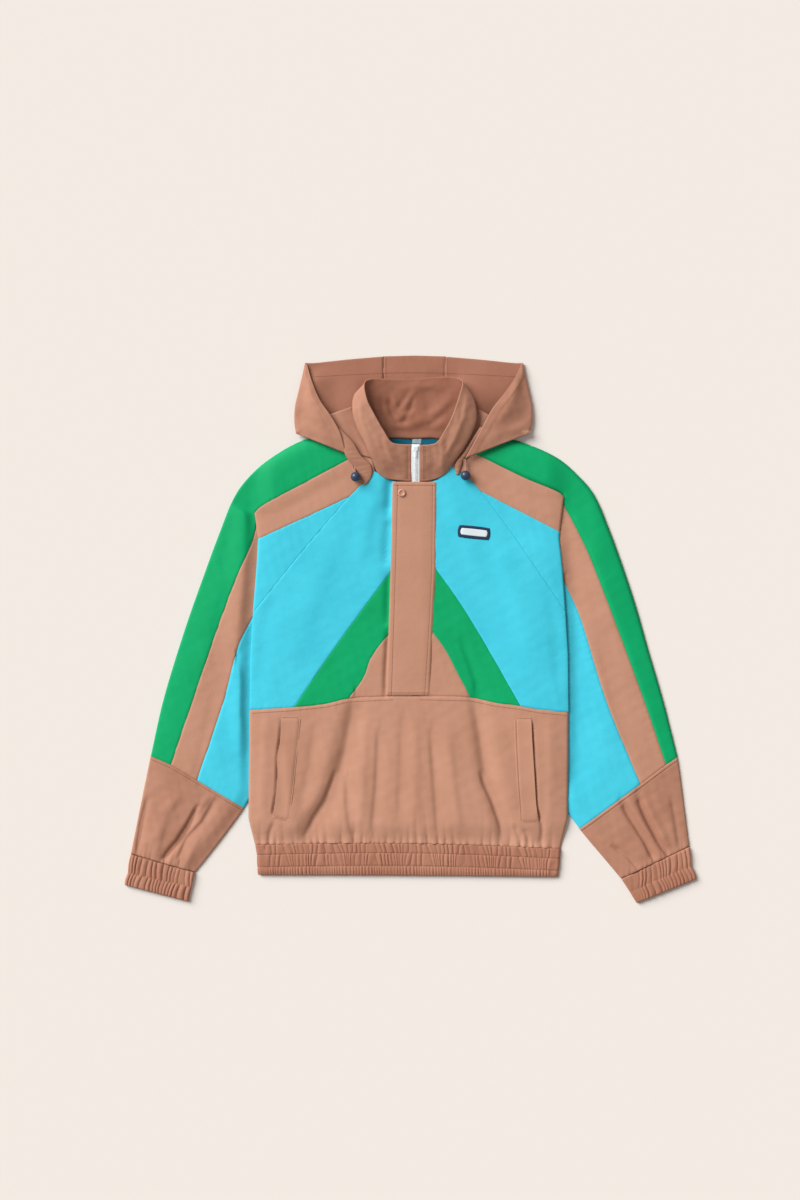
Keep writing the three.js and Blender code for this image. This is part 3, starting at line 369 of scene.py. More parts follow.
def between(a, b, c, d, step=STEP):
    """A plan grid between four corners: the two of its top, then the two of its bottom."""
    return coons(straight(a, b), straight(c, d), straight(a, c), straight(b, d), step)


def to_path(x, y, path):
    """The distance of each point to a path, and its share along it."""
    path = np.asarray(path, float)
    best, share = np.full(x.shape, 1e9), np.zeros(x.shape)
    for i, (a, b) in enumerate(zip(path[:-1], path[1:])):
        d = b - a
        s = np.clip(((x - a[0]) * d[0] + (y - a[1]) * d[1]) / (d @ d), 0, 1)
        distance = np.hypot(x - a[0] - s * d[0], y - a[1] - s * d[1])
        nearer = distance < best
        best = np.where(nearer, distance, best)
        share = np.where(nearer, (i + s) / (len(path) - 1), share)
    return best, share


def uneven(x, y, size, seed=0.0):
    """A soft, even-handed unevenness from -1 to 1 whose swells are about size across."""
    k = 2 * math.pi / size
    waves = ((0.9, 0.35, 0.0), (-0.42, 0.81, 1.7), (0.55, -0.63, 3.1), (0.23, 1.13, 4.6), (-1.07, -0.21, 5.9))
    total = sum(np.sin(k * (a * x + b * y) + c + seed * (1 + i)) for i, (a, b, c) in enumerate(waves))
    return total / 3.2


def table(**columns):
    """A list of rows, each a dictionary, from columns of equal length."""
    return [dict(zip(columns, row)) for row in zip(*columns.values())]


# Each row of these lines is a point on the left (l) and on the right (r) of the jacket.
OUTER = table(
    l=[
        (-64, 338.5), (-125, 339), (-183, 332), (-251, 294), (-287, 261), (-308, 231), (-335, 165),
        (-365, 83.5), (-395.5, -4), (-432, -124), (-454, -222),
    ],
    r=[
        (70, 338.5), (125, 339), (178, 332), (256, 300), (295, 267), (320, 237), (350, 168), (392, 47),
        (416, -37), (441.5, -124), (467, -224),
    ],
)
RAGLAN = table(
    l=[(-107, 231.5), (-174, 154), (-222, 95), (-275.2, 28)],
    r=[(123, 241), (174, 173), (222, 103), (270.8, 32)],
)
INNER = table(
    l=[(-263, 47), (-266, -60), (-267, -180), (-270, -270), (-291, -313)],
    r=[(260.5, 98), (261, -60), (262, -200), (266, -300), (296, -349)],
)
# Side fold of the body: height, left and right.
SIDE = np.array([
    (300, -470, 470), (245, -350, 300), (232, -330, 268.5), (203, -272.5, 265), (158, -266, 261), (107, -269, 266),
    (32, -275, 270.5), (-43, -279.5, 275), (-141, -281, 276), (-330, -283, 275), (-380, -271, 263),
])
# Ends of the seam between front and hem band, and how far it bows up in its middle.
HEM_TOP = {"left": (-271, -376.6), "right": (262.5, -383.6), "bow": 5.6}


def side_x(side, y):
    """Where the body's side fold is at a height y."""
    column = SIDE[::-1, 1 if side == "l" else 2]
    return np.interp(y, SIDE[::-1, 0], column)


def side_fold(side, high, low):
    """The body's side fold as a line, from high to low."""
    y = np.linspace(high, low, 60)
    return np.stack([side_x(side, y), y], axis=1)


def on_row(row, t):
    """Points at shares t of a row of the hem band, which bows up in its middle."""
    a, b = np.array(row["left"], float), np.array(row["right"], float)
    points = a + (b - a) * np.asarray(t)[:, None]
    points[:, 1] += row["bow"] * np.sin(math.pi * np.asarray(t))
    return points


def inside_side(x, y):
    """How far a point is inside the body's side fold."""
    return np.where(x < 0, x - side_x("l", y), side_x("r", y) - x)


def raised(plan, z):
    """A plan grid with a height for each of its points."""
    return np.concatenate([plan, z[..., None]], axis=2)


def height_at(height, x, y):
    """A height function's value at one point."""
    return float(height(np.array([x], float), np.array([y], float))[0])


def grid_reach(points):
    """Distances along a grid's rows and columns from its first ones, mm."""
    across = np.linalg.norm(np.diff(points, axis=1), axis=2)
    down = np.linalg.norm(np.diff(points, axis=0), axis=2)
    across = np.concatenate([np.zeros((points.shape[0], 1)), np.cumsum(across, axis=1)], axis=1)
    down = np.concatenate([np.zeros((1, points.shape[1])), np.cumsum(down, axis=0)], axis=0)
    return across, down


def sewn(points, roll=(1, 1, 1, 1), pucker=(0.25, 0.25, 0.25, 0.25), depth=0.9, seed=0.0):
    """Rolls the cloth into its seams and puckers it beside them: top, bottom, left, right."""
    across, down = grid_reach(points)
    sides = (
        (down, across),
        (down[-1:] - down, across),
        (across, down),
        (across[:, -1:] - across, down),
    )
    lift = np.zeros(points.shape[:2])
    for i, (away, along) in enumerate(sides):
        lift -= roll[i] * depth * bell(away, 1.7)
        wave = np.sin(along * 2 * math.pi / 11.5 + 2.2 * np.sin(along / 31 + seed + i) + seed * 3)
        swell = 0.55 + 0.45 * np.sin(along / 47 + 2.1 * i + seed)
        lift += pucker[i] * wave * swell * np.exp(-away / 7) * (1 - np.exp(-away / 1.6))
    points = points.copy()
    points[..., 2] += lift
    return points


def add_cloth(
    name, points, material, nodes, fullness=1.0, wall=CLOTH, closed=False
):
    """A thin shell of cloth, half its wall to each side of the points; it hides the parts of the model that it stands
    for."""
    piece = add_grid(name, points, material, closed)
    shell = piece.modifiers.new("wall", "SOLIDIFY")
    shell.thickness = wall * MM
    shell.offset = 0
    across, down = grid_reach(points)
    width, length = float(across[:, -1].max()) * fullness, float(down[-1].max())
    u, v = np.diff(points, axis=1)[:-1], np.diff(points, axis=0)[:, :-1]
    area = float(np.linalg.norm(np.cross(u, v), axis=2).sum()) * fullness
    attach(piece, "root")
    if nodes:
        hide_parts(*nodes)
    area = float(np.clip(area, LEAST_SHARE * width * length, width * length))
    return piece


def line_with(piece, material, turn_over):
    """Gives the back of a shell a material of its own; turn_over says that its faces point the wrong way."""
    piece.data.materials.append(material)
    if turn_over:
        piece.data.flip_normals()
    piece.modifiers["wall"].material_offset = 1


def nylon(name, base, shade, crease):
    """Plain-weave nylon taffeta, dyed and calendered: a fine dull sheen, faint crossing threads and small creases.
    The weave is drawn at 1.2 mm, some six times its real pitch, because the real one is too fine to show."""
    dull = {"Roughness": 0.6, "Specular_IOR_Level": 0.16, "Sheen_Weight": 0.03, "Sheen_Roughness": 0.4}
    material, shader = new_material(name, **dull)
    where = add_node(material, "ShaderNodeTexCoord")
    threads = [
        add_node(
            material,
            "ShaderNodeTexWave",
            {"bands_direction": axis},
            Vector=(where, "Object"),
            Scale=math.pi / 10 / (1.2 * MM),
            Distortion=0.4,
            Detail=1.0,
        )
        for axis in ("X", "Y")
    ]
    weave = add_node(
        material, "ShaderNodeMath", {"operation": "MULTIPLY"}, _0=(threads[0], "Fac"), _1=(threads[1], "Fac")
    )
    noise = {"Vector": (where, "Object")}
    crinkle = add_node(material, "ShaderNodeTexNoise", Scale=75.0, Detail=5.0, Roughness=0.55, **noise)
    swell = add_node(material, "ShaderNodeTexNoise", Scale=13.0, Detail=3.0, Roughness=0.5, **noise)
    tone = add_node(material, "ShaderNodeMapRange", Value=(swell, "Fac"), From_Min=0.3, From_Max=0.7)
    mixed = add_node(
        material, "ShaderNodeMix", {"data_type": "RGBA"}, _0=(tone, "Result"), _6=colour(base), _7=colour(shade)
    )
    material.node_tree.links.new(mixed.outputs[2], shader.inputs["Base Color"])
    creased = add_node(
        material, "ShaderNodeBump", Height=(crinkle, "Fac"), Strength=0.35, Distance=crease * MM
    )
    woven = {"Height": (weave, "Value"), "Strength": 0.25, "Distance": 0.12 * MM, "Normal": (creased, "Normal")}
    woven = add_node(material, "ShaderNodeBump", **woven)
    material.node_tree.links.new(woven.outputs["Normal"], shader.inputs["Normal"])
    return material


BLUE = nylon("blue_nylon_taffeta", "#45c8de", "#3fc2d8", 1.1)
GREEN = nylon("green_nylon_taffeta", "#00a465", "#009e5f", 1.0)
BROWN = nylon("brown_nylon_taffeta", "#bf8c74", "#b9866d", 1.2)
# A deeper brown of the same cloth is painted shade, for the forearms, collar and parts of the hood.
BROWN_PAINTED_SHADE = nylon("brown_nylon_taffeta_cross_grain", "#b5826b", "#ac7861", 1.3)
# The gathered brown of the hem and cuffs is darker still: painted shade of its small creases.
BROWN_GATHERED_PAINTED_SHADE = nylon("brown_nylon_taffeta_gathered", "#b07b64", "#a46d57", 2.4)


def back_height(x, y):
    """The back on the table, raised where it lies over the inner edge of a sleeve."""
    over = (1 - smooth(inside_side(x, y), 16.5, 28)) * smooth(y, -366, -328) * (1 - smooth(y, 110, 190))
    propped = 3.4 * smooth(x, 110, 235) * smooth(y, -330, -200)
    return TABLE + (5.2 - TABLE + propped) * over


NECK_BACK = {"l": (-60, 337.5), "r": (66, 337.5)}  # ends of the back's neck edge


def back_seam(side):
    """The seam between the back and a sleeve's back, from the neck to the armpit."""
    return line([NECK_BACK[side]] + [row[side] for row in RAGLAN[:3]] + [INNER[0][side]])


back_bottom = on_row(HEM_TOP, np.linspace(0, 1, 60)) + (0, 1.2)
back_sides = [
    join(back_seam(side), side_fold(side, INNER[0][side][1] - 7, back_bottom[0 if side == "l" else -1][1]))
    for side in ("l", "r")
]
plan = coons(straight(NECK_BACK["l"], NECK_BACK["r"]), back_bottom, *back_sides, step=7)
height = back_height(plan[..., 0], plan[..., 1]) - 0.3 + 0.12 * (1 + uneven(plan[..., 0], plan[..., 1], 90))
points = raised(plan, np.maximum(height, 0.4))
add_cloth("back", points, BLUE, ["back_body"])
for side in ("l", "r"):
    plan = coons(
        straight(OUTER[0][side], NECK_BACK[side]),
        straight(OUTER[-1][side], INNER[-1][side]),
        line(OUTER, side),
        join(back_seam(side), line(INNER, side)),
        step=7,
    )
    points = raised(plan, 0.5 + 0.1 * (1 + uneven(plan[..., 0], plan[..., 1], 80)))
    add_cloth("sleeve_back_" + side, points, BLUE, ["sleeve_back_" + side.upper()])

# ---------------------------------------------------------------- sleeves
# Each raglan sleeve is three bias strips sewn side by side: green on the outside, brown, then blue under the arm.
# The seam allowances lie inside, so a seam is a narrow groove with short puckers beside it.
STRIPE_TOP = table(
    l=[(-70, 316), (-111, 295), (-194, 251), (-262, 213.5), (-272.5, 203)],
    r=[(76, 322), (126, 300), (200, 264), (258, 239.5), (268.5, 232)],
)
STRIPE_TOP_SLEEVE = table(
    l=[(-272.5, 203), (-270.5, 183), (-277.5, 151), (-303.5, 92), (-335, 8), (-380.5, -124), (-419, -237)],
    r=[(268.5, 232), (269, 217), (281.5, 193), (307.5, 141), (338, 65), (408.5, -124), (447, -237)],
)
STRIPE_LOW_SLEEVE = table(
    l=[(-263, 47), (-275, 23), (-299, -25), (-326, -124), (-373, -264)],
    r=[(260.5, 98), (270, 80), (295, 26), (342, -124), (402, -271)],
)
# Edges of the forearm, then the end of the cuff.
ARM_LOW = table(
    outer=table(
        l=[(-454, -222), (-463, -266), (-475, -325), (-488.6, -393)],
        r=[(467, -224), (473, -266), (480, -322), (487.6, -380)],
    ),
    inner=table(
        l=[(-291, -313), (-313, -343), (-345, -385), (-377, -425)],
        r=[(296, -349), (315, -372), (343, -405), (369, -436)],
    ),
)
CUFF_END = {"outer": {"l": (-499.6, -447), "r": (500, -436.5)}, "inner": {"l": (-388, -476), "r": (396, -478.5)}}
SLEEVE_EDGE = TABLE + PLY + 0.2  # upper ply of a sleeve where it turns at its edge
SLEEVE_LOFT = 4.2  # rise of the sleeve from its edge to its middle
BODY_EDGE = 7.3  # front of the body where it folds over the sleeve
HEM_EDGE = 3.0  # front of the body at its side, below the sleeve
BODY_LOFT = 3.4  # rise of the front from its side fold to the chest
COVERED = {"l": (0.5, 19), "r": (8, 70)}  # where a sleeve comes up from under the body, mm beyond the side fold

# A fold is its path from top to bottom, its height (below zero for a trough) and its half width,
# or its half widths on the left and on the right.
SLEEVE_FOLDS = [
    (((-297, 250), (-291, 190), (-293, 125), (-298, 53), (-306, -30)), 4.2, 26, 9),
    (((-304, -60), (-298, -90), (-299, -144), (-291, -203)), 4.0, 18, 8),
    (((-308, 225), (-318, 170), (-330, 110)), -1.2, 9, 15),
    (((-330, 90), (-350, 20), (-362, -60)), 1.6, 22, 12),
    (((-345, -120), (-362, -200), (-374, -262)), -1.0, 8, 16),
    (((296, 255), (300, 205), (306, 150)), -1.8, 8, 14),
    (((322, 150), (340, 80), (356, 10)), 1.5, 14, 22),
    (((300, 60), (306, 0), (300, -70), (282, -130)), 1.2, 12, 20),
    (((330, -30), (352, -110), (376, -190)), -1.1, 8, 18),
    (((-370, -312), (-388, -341), (-406, -371), (-432, -400)), -4.2, 6, 11),
    (((-459, -290), (-468, -330), (-480, -391)), -1.6, 5, 9),
    (((-405, -285), (-432, -330), (-458, -385)), 2.0, 14, 9),
    (((395, -287), (413, -334), (432, -370), (450, -394)), -4.2, 5, 10),
    (((366, -297), (388, -337), (410, -370), (422, -398)), -3.4, 5, 9),
    (((425, -285), (452, -330), (470, -380)), 1.9, 9, 12),
]
BODY_FOLDS = [
    (
        ((-99, -128), (-103, -159), (-111, -203), (-120, -236), (-131, -272), (-144, -301), (-164, -330), (-182, -362)),
        -6.8, 12, 26,
    ),
    (((-133, -250), (-141, -272), (-152, -301), (-170, -330), (-184, -360)), -3.6, 2.2, 4.5),
    (((-130, -150), (-146, -225), (-163, -285), (-196, -330)), 1.4, 20, 9),
    (((-110, -262), (-109, -310), (-104, -346), (-97, -366)), -3.0, 6, 14),
    (((-98, -160), (-104, -230), (-110, -290)), 1.0, 12, 16),
    (((-216, -200), (-214, -270), (-206, -340)), 1.6, 10, 14),
    (((-166, -170), (-178, -250), (-190, -310)), -1.4, 8, 14),
    (((198, -350), (204, -362), (206, -376)), -2.4, 3, 5),
    (((182, -344), (188, -360), (190, -376)), -2.0, 3, 5),
    (((-240, -338), (-246, -356), (-247, -374)), -2.2, 3, 6),
    (
        ((111, -122), (122, -181), (129, -236), (134, -268), (146, -297), (156, -327), (166, -363), (171, -376)),
        -6.4, 11, 24,
    ),
    (((122, -252), (127, -270), (140, -297), (151, -327), (163, -362)), -4.0, 2.2, 4.5),
    (((130, -150), (143, -205), (157, -262), (176, -318)), 3.0, 12, 22),
    (((-55, -178), (-59, -270), (-66, -350)), -2.3, 5, 13),
    (((-78, -150), (-83, -240), (-86, -330)), 1.4, 11, 9),
    (((-14, -150), (-16, -240), (-20, -335)), -1.2, 6, 14),
    (((8, -160), (9, -250), (6, -330)), 1.2, 12, 9),
    (((36, -178), (42, -270), (48, -350)), -2.2, 5, 12),
    (((66, -180), (74, -270), (84, -350)), 1.5, 12, 8),
    (((224, -322), (229, -340), (230, -352), (227, -378)), -2.6, 3.2, 6),
    (((-252, -150), (-256, -240), (-260, -330)), 1.1, 8, 12),
    (((243, -150), (245, -240), (243, -330)), 1.1, 8, 12),
    (((-34, 266), (-35, 236), (-37, 206)), -6.4, 10, 5),
    (((-36, 190), (-38, 160), (-40, 120)), -4.4, 9, 5),
    (((-38, 100), (-39, 60), (-40, 15)), -3.0, 7, 5),
    (((-39, -2), (-41, -40), (-43, -80), (-43.5, -115)), -3.8, 4.5, 4),
    (((-62, 236), (-74, 190), (-84, 130)), 1.6, 20, 10),
    (((-130, 160), (-165, 70), (-196, -30)), 1.5, 28, 18),
    (((66, 236), (92, 178), (112, 110)), 1.4, 12, 22),
    (((150, 150), (186, 60), (214, -40)), 1.5, 18, 28),
    (((-240, 60), (-255, 0), (-262, -90)), -1.2, 10, 16),
    (((240, 60), (252, 0), (257, -90)), -1.2, 8, 12),
    (((-120, 262), (-175, 232), (-238, 200)), -1.0, 11, 11),
    (((130, 270), (180, 246), (235, 216)), -1.0, 11, 11),
    (((88, -20), (104, -60), (118, -105)), -1.8, 5, 10),
]


def folded(x, y, folds):
    """The height that folds add; each dies away past the ends of its path."""
    total = np.zeros(x.shape)
    for path, height, *widths in folds:
        distance, share = to_path(x, y, path)
        path = np.asarray(path, float)
        width = np.where(x < np.interp(-y, -path[:, 1], path[:, 0]), widths[0], widths[-1])
        strength = height * smooth(share, -0.15, 0.2) * (1 - smooth(share, 0.85, 1.2))
        total += strength * bell(distance, width)
    return total


def by_side(x, measure):
    """A measure of the left half where x is below zero, of the right half elsewhere."""
    return np.where(x < 0, measure("l"), measure("r"))


ARM_PATH = {}
for edge, upper in (("outer", OUTER), ("inner", INNER)):
    for side in ("l", "r"):
        low = [row[edge][side] for row in ARM_LOW[1:]] + [CUFF_END[edge][side]]
        ARM_PATH[edge, side] = np.vstack([line(upper, side)[::20], low])


def sleeve_height(x, y):
    """Middle of the upper ply of a sleeve."""
    out = by_side(x, lambda s: to_path(x, y, ARM_PATH["outer", s])[0])
    into = by_side(x, lambda s: np.where(y > INNER[0][s][1], 40, to_path(x, y, ARM_PATH["inner", s])[0]))
    beyond = -inside_side(x, y)
    under = 1 - (1 - by_side(x, lambda s: smooth(beyond, *COVERED[s]))) * smooth(y, -300, -250)
    full = (1 - np.exp(-out / 24)) * smooth(into, 0, 24) * under
    propped = np.where(x > 0, 4.6, 0) * smooth(y, -300, -180) * (1 - smooth(y, 130, 200)) * smooth(into, 0, 24)
    propped = propped * bell(beyond + 3, np.where(beyond < -3, 8, 12))
    return SLEEVE_EDGE + propped + full * (SLEEVE_LOFT + folded(x, y, SLEEVE_FOLDS))


def body_height(x, y):
    """Middle of the front of the body."""
    inside = np.maximum(0, inside_side(x, y))
    edge = HEM_EDGE + (BODY_EDGE - HEM_EDGE) * smooth(y, -374, -336)
    edge += 3.6 * smooth(x, 110, 235) * smooth(y, -330, -200) * (1 - smooth(y, 120, 190))
    loft = BODY_LOFT * (1 - np.exp(-inside / 20)) + smooth(inside, 0, 12) * folded(x, y, BODY_FOLDS)
    height = np.maximum(HEM_EDGE, edge + loft * (1 - 0.35 * smooth(-y, 345, 376)))
    out = by_side(x, lambda s: to_path(x, y, ARM_PATH["outer", s])[0])
    return np.where(y < 150, height, SLEEVE_EDGE + (height - SLEEVE_EDGE) * (1 - np.exp(-out / 9)))


def shoulder_height(x, y):
    """The front's height by the neck, which becomes the sleeve's past the shoulder."""
    t = smooth(np.abs(x), 236, 284)
    return body_height(x, y) * (1 - t) + sleeve_height(x, y) * t


def placed(plan, height, seed=0.0, roll=(1, 1, 1, 1), crumple=0.35):
    """The grid at its height, crumpled a little, rolled and puckered at its seams."""
    x, y = plan[..., 0], plan[..., 1]
    z = height(x, y) + crumple * (0.6 * uneven(x, y, 46, seed) + 0.4 * uneven(x, y, 19, seed + 2))
    return sewn(raised(plan, z), roll=roll, seed=seed)


for side, tag, out in SIDES:
    stripe = line(STRIPE_TOP_SLEEVE, side, 1)
    low, inner = line(STRIPE_LOW_SLEEVE, side), line(INNER, side)
    hidden = (INNER[0][side][0] - out * 0.8, STRIPE_TOP_SLEEVE[1][side][1])
    green = (
        straight(OUTER[0][side], STRIPE_TOP[0][side]),
        straight(OUTER[-1][side], STRIPE_TOP_SLEEVE[-1][side]),
        line(OUTER, side),
        join(line(STRIPE_TOP, side), line(STRIPE_TOP_SLEEVE, side, 0, 1), stripe),
    )
    brown = (
        straight(STRIPE_TOP_SLEEVE[1][side], hidden),
        straight(STRIPE_TOP_SLEEVE[-1][side], STRIPE_LOW_SLEEVE[-1][side]),
        stripe,
        join(straight(hidden, low[0]), low),
    )
    tucked = inner + (0, -0.5)
    blue = (straight(low[0], tucked[0]), straight(low[-1], inner[-1]), low, tucked)
    for name, node, cloth, slot, edges, height, seed, roll in (
        ("green_panel", "green", GREEN, "green_nylon", green, shoulder_height, 1.3, (1, 1, 0.9, 0.8)),
        ("brown_panel", "stripe", BROWN, "brown_nylon", brown, sleeve_height, 2.1, (0, 1, 1, 1)),
        ("blue_panel", "blue", BLUE, "blue_nylon", blue, sleeve_height, 0.7, (0, 1, 1, 2)),
    ):
        points = placed(coons(*edges), height, seed=seed * out, roll=roll)
        nodes, below = ["sleeve_" + node + "_" + tag], ["sleeve_back_" + tag]
        add_cloth("sleeve_" + name + "_" + tag, points, cloth, nodes)

# ---------------------------------------------------------------- front of the body
# The front is cut in brown, blue and green nylon: yokes over the shoulders, chest panels and a chevron to the waist.
# The zip splits it down the middle, and below the waist seam one wide brown panel is gathered into the hem.
STRIPE_LOW = table(
    l=[(-62, 276), (-85, 253), (-107, 231.5)],
    r=[(72, 284), (105, 260), (123, 241)],
)
STRIPE_LOW_RAGLAN = table(
    l=[(-107, 231.5), (-186, 194.5), (-266, 158)],
    r=[(123, 241), (192, 205.5), (261, 170)],
)
ZIP = {"l": 1.4, "r": 16.5}  # edges of the front on both sides of the zip
WAIST = [
    (-281, -141), (-203, -136), (-147, -130), (-108, -121), (-30, -117), (ZIP["l"], -117), (ZIP["r"], -117),
    (104, -119), (147, -128), (192, -134), (222, -139.5), (276, -145),
]
# Upper and lower edge of the chevron's leg, from the zip down to the waist.
CHEVRON_OUT = table(
    l=[(ZIP["l"], 146), (-35.5, 99), (-120, -15), (-165, -79), (-203, -136)],
    r=[(ZIP["r"], 144), (44, 106), (93, 36), (141, -44), (192, -134)],
)
CHEVRON_IN = table(
    l=[(ZIP["l"], 32), (-38, -9.5), (-54, -28), (-69, -50), (-82, -84.5), (-108, -121)],
    r=[(ZIP["r"], 25), (38, -4), (61, -36), (85, -82), (97, -104), (104, -119)],
)
# The front's neck edge from the zip outwards.
NECK = table(
    l=[(ZIP["l"], 256.5), (-30, 259), (-62, 276)],
    r=[(ZIP["r"], 256.5), (42, 260), (72, 284)],
)


def waist(side, start, end):
    """The waist seam between two of its points, away from the zip."""
    points = line(WAIST, None, start, end)
    return points[::-1] if side == "l" else points


for side, tag, out in SIDES:
    zip_x = ZIP[side]
    peak, crotch = CHEVRON_OUT[0][side][1], CHEVRON_IN[0][side][1]
    chevron, gore, armhole = line(CHEVRON_OUT, side), line(CHEVRON_IN, side), line(RAGLAN, side)
    fold = side_fold(side, armhole[-1][1], WAIST[0 if side == "l" else -1][1])
    panels = (
        (
            "chest",
            BLUE,
            "blue_nylon",
            line(NECK, side),
            waist(side, *((0, 1) if side == "l" else (9, 11))),
            join(straight((zip_x, 256.5), (zip_x, peak)), chevron),
            join(line(STRIPE_LOW, side), armhole, fold),
            (1, 1, 0.6, 0.4),
        ),
        (
            "chevron",
            GREEN,
            "green_nylon",
            straight((zip_x, peak - 0.4), chevron[0] + (chevron[1] - chevron[0]) * 0.05),
            waist(side, *((1, 3) if side == "l" else (7, 9))),
            join(straight((zip_x, peak - 0.4), (zip_x, crotch)), gore),
            chevron,
            (1, 1, 0.6, 0.4),
        ),
        (
            "gore",
            BROWN,
            "brown_nylon",
            straight((zip_x, crotch - 0.4), gore[0] + (gore[1] - gore[0]) * 0.05),
            waist(side, *((3, 5) if side == "l" else (6, 7))),
            straight((zip_x, crotch - 0.4), (zip_x, WAIST[5][1])),
            gore,
            (1, 1, 0.6, 0.6),
        ),
        (
            "shoulder_stripe",
            BROWN,
            "brown_nylon",
            straight(STRIPE_TOP[0][side], STRIPE_LOW[0][side]),
            straight(STRIPE_TOP[-1][side], STRIPE_LOW_RAGLAN[-1][side]),
            line(STRIPE_TOP, side),
            join(line(STRIPE_LOW, side), line(STRIPE_LOW_RAGLAN, side)),
            (1, 2, 0.7, 0.7),
        ),
        (
            "raglan",
            BLUE,
            "blue_nylon",
            straight(STRIPE_LOW_RAGLAN[0][side], armhole[0] + (armhole[1] - armhole[0]) * 0.05),
            side_fold(side, STRIPE_LOW_RAGLAN[-1][side][1], armhole[-1][1]),
            line(STRIPE_LOW_RAGLAN, side),
            armhole,
            (1, 2, 0.6, 0.4),
        ),
    )
    for i, (name, cloth, slot, top, bottom, left, right, roll) in enumerate(panels):
        points = placed(coons(top, bottom, left, right), body_height, seed=(i + 1) * 0.9 * out, roll=roll)
        add_cloth(name + "_panel_" + tag, points, cloth, [name + "_" + tag])

POCKET_MOUTH = {
    "l": [(-224.9, -151.5), (-227.2, -194), (-232, -223), (-231.8, -256), (-234.2, -288), (-240.8, -329)],
    "r": [(211, -153), (212.5, -190), (215, -231), (217.5, -270), (220, -308), (225, -338)],
}
points = placed(
    coons(
        line(WAIST),
        on_row(HEM_TOP, np.linspace(0, 1, 90)) + (0, 0.2),
        side_fold("l", WAIST[0][1], HEM_TOP["left"][1] + 0.2),
        side_fold("r", WAIST[-1][1], HEM_TOP["right"][1] + 0.2),
        step=2.4,
    ),
    body_height,
    seed=5.0,
    roll=(1, 1, 2, 2),
)
x, y = points[..., 0], points[..., 1]
(left_x, left_y), (right_x, right_y) = HEM_TOP["left"], HEM_TOP["right"]
bow = HEM_TOP["bow"] * np.sin(math.pi * (x - left_x) / (right_x - left_x))
above = y - np.interp(x, (left_x, right_x), (left_y, right_y)) - bow
reach = 13 + 5 * np.sin(x / 21.0 + 0.7) + 4 * np.sin(x / 9.3)
turn = (x + 0.12 * above * np.sin(x / 40)) * math.pi / 17 + 1.1 * np.sin(x / 31.0) + 0.8 * np.sin(x / 12.1 + 1.1)
crowns = 2 * np.abs(np.sin(turn)) ** 0.45 - 1
slits = 2 * np.abs(np.sin(x * math.pi / 9.5 + 1.4 * np.sin(x / 11.3) + 0.5)) ** 0.4 - 1
rise = (1.9 + 0.8 * np.sin(x / 26)) * crowns * np.exp(-np.maximum(above, 0) / reach)
rise += 1.3 * slits * np.exp(-np.maximum(above, 0) / (4.5 + 2 * np.sin(x / 15)))
points[..., 2] += rise * (1 - np.exp(-inside_side(x, y) / 9))
for side, _, out in SIDES:
    mouth = np.array(POCKET_MOUTH[side])
    away, share = to_path(x, y, mouth)
    outside = np.sign(x - np.interp(-y, -mouth[:, 1], mouth[:, 0])) * out
    gape = smooth(share, 0.0, 0.12) * (1 - smooth(share, 0.93, 1.0)) * (0.55 + 0.45 * np.sin(share * 9 - 0.6) ** 2)
    gape = gape * bell(away - outside, np.where(outside > 0, 2.0, 6))
    points[..., 2] -= 4.6 * gape * (share > 0) * (share < 1)
lower_front = add_cloth(
    "lower_front_panel", points, BROWN, ["lower_front"]
)

# ---------------------------------------------------------------- forearms, cuffs and hem band
# Each forearm is a brown tube below the sleeve's strips. The cuffs and the hem band are brown tubes too,
# doubled over wide elastic and stitched through in rows, which gathers the cloth into narrow uneven pleats.
# Rows of the mesh down each tube, and columns over its top.
FOREARM_MESH, CUFF_MESH, HEM_MESH = (78, 92), (34, 150), (46, 620)
CUFF_FULLNESS, HEM_FULLNESS = 1.25, 1.3  # cloth before it was gathered, over its length now
CUFF = table(
    outer=table(
        l=[(-488.7, -393.4), (-492, -410), (-494, -426), (-498, -438)],
        r=[(487.7, -380.4), (489.6, -397), (491, -413), (497, -426)],
    ),
    inner=table(
        l=[(-377.1, -425.4), (-381, -439), (-383, -451), (-386.5, -465)],
        r=[(369.1, -436.4), (378, -449), (384, -459), (391, -470)],
    ),
) + [CUFF_END]
HEM = table(
    left=[(-271, -376.6), (-269, -386), (-268, -394.5), (-267.5, -405.5), (-267, -416), (-266, -429)],
    right=[(262.5, -383.6), (261.5, -392.5), (261, -401), (260, -411.5), (259, -422), (257, -432.6)],
    bow=[5.6, 6, 6.4, 6.2, 5.4, 1],
)


def pleats(along, pitch, seed):
    """Uneven pleats side by side, from -1 in the valleys to 1 on the crowns; the valleys are the narrower."""
    turn = along * math.pi / pitch + 0.9 * np.sin(along / 13.7 + seed) + 0.7 * np.sin(along / 5.9 + 2.3 * seed)
    size = 0.55 + 0.3 * np.sin(along / 3.9 + 1.9 * seed) * np.sin(along / 6.7 + seed)
    size = size + 0.15 * np.sin(along / 17 + seed)
    return size * (2 * np.abs(np.sin(turn)) ** 0.55 - 1)


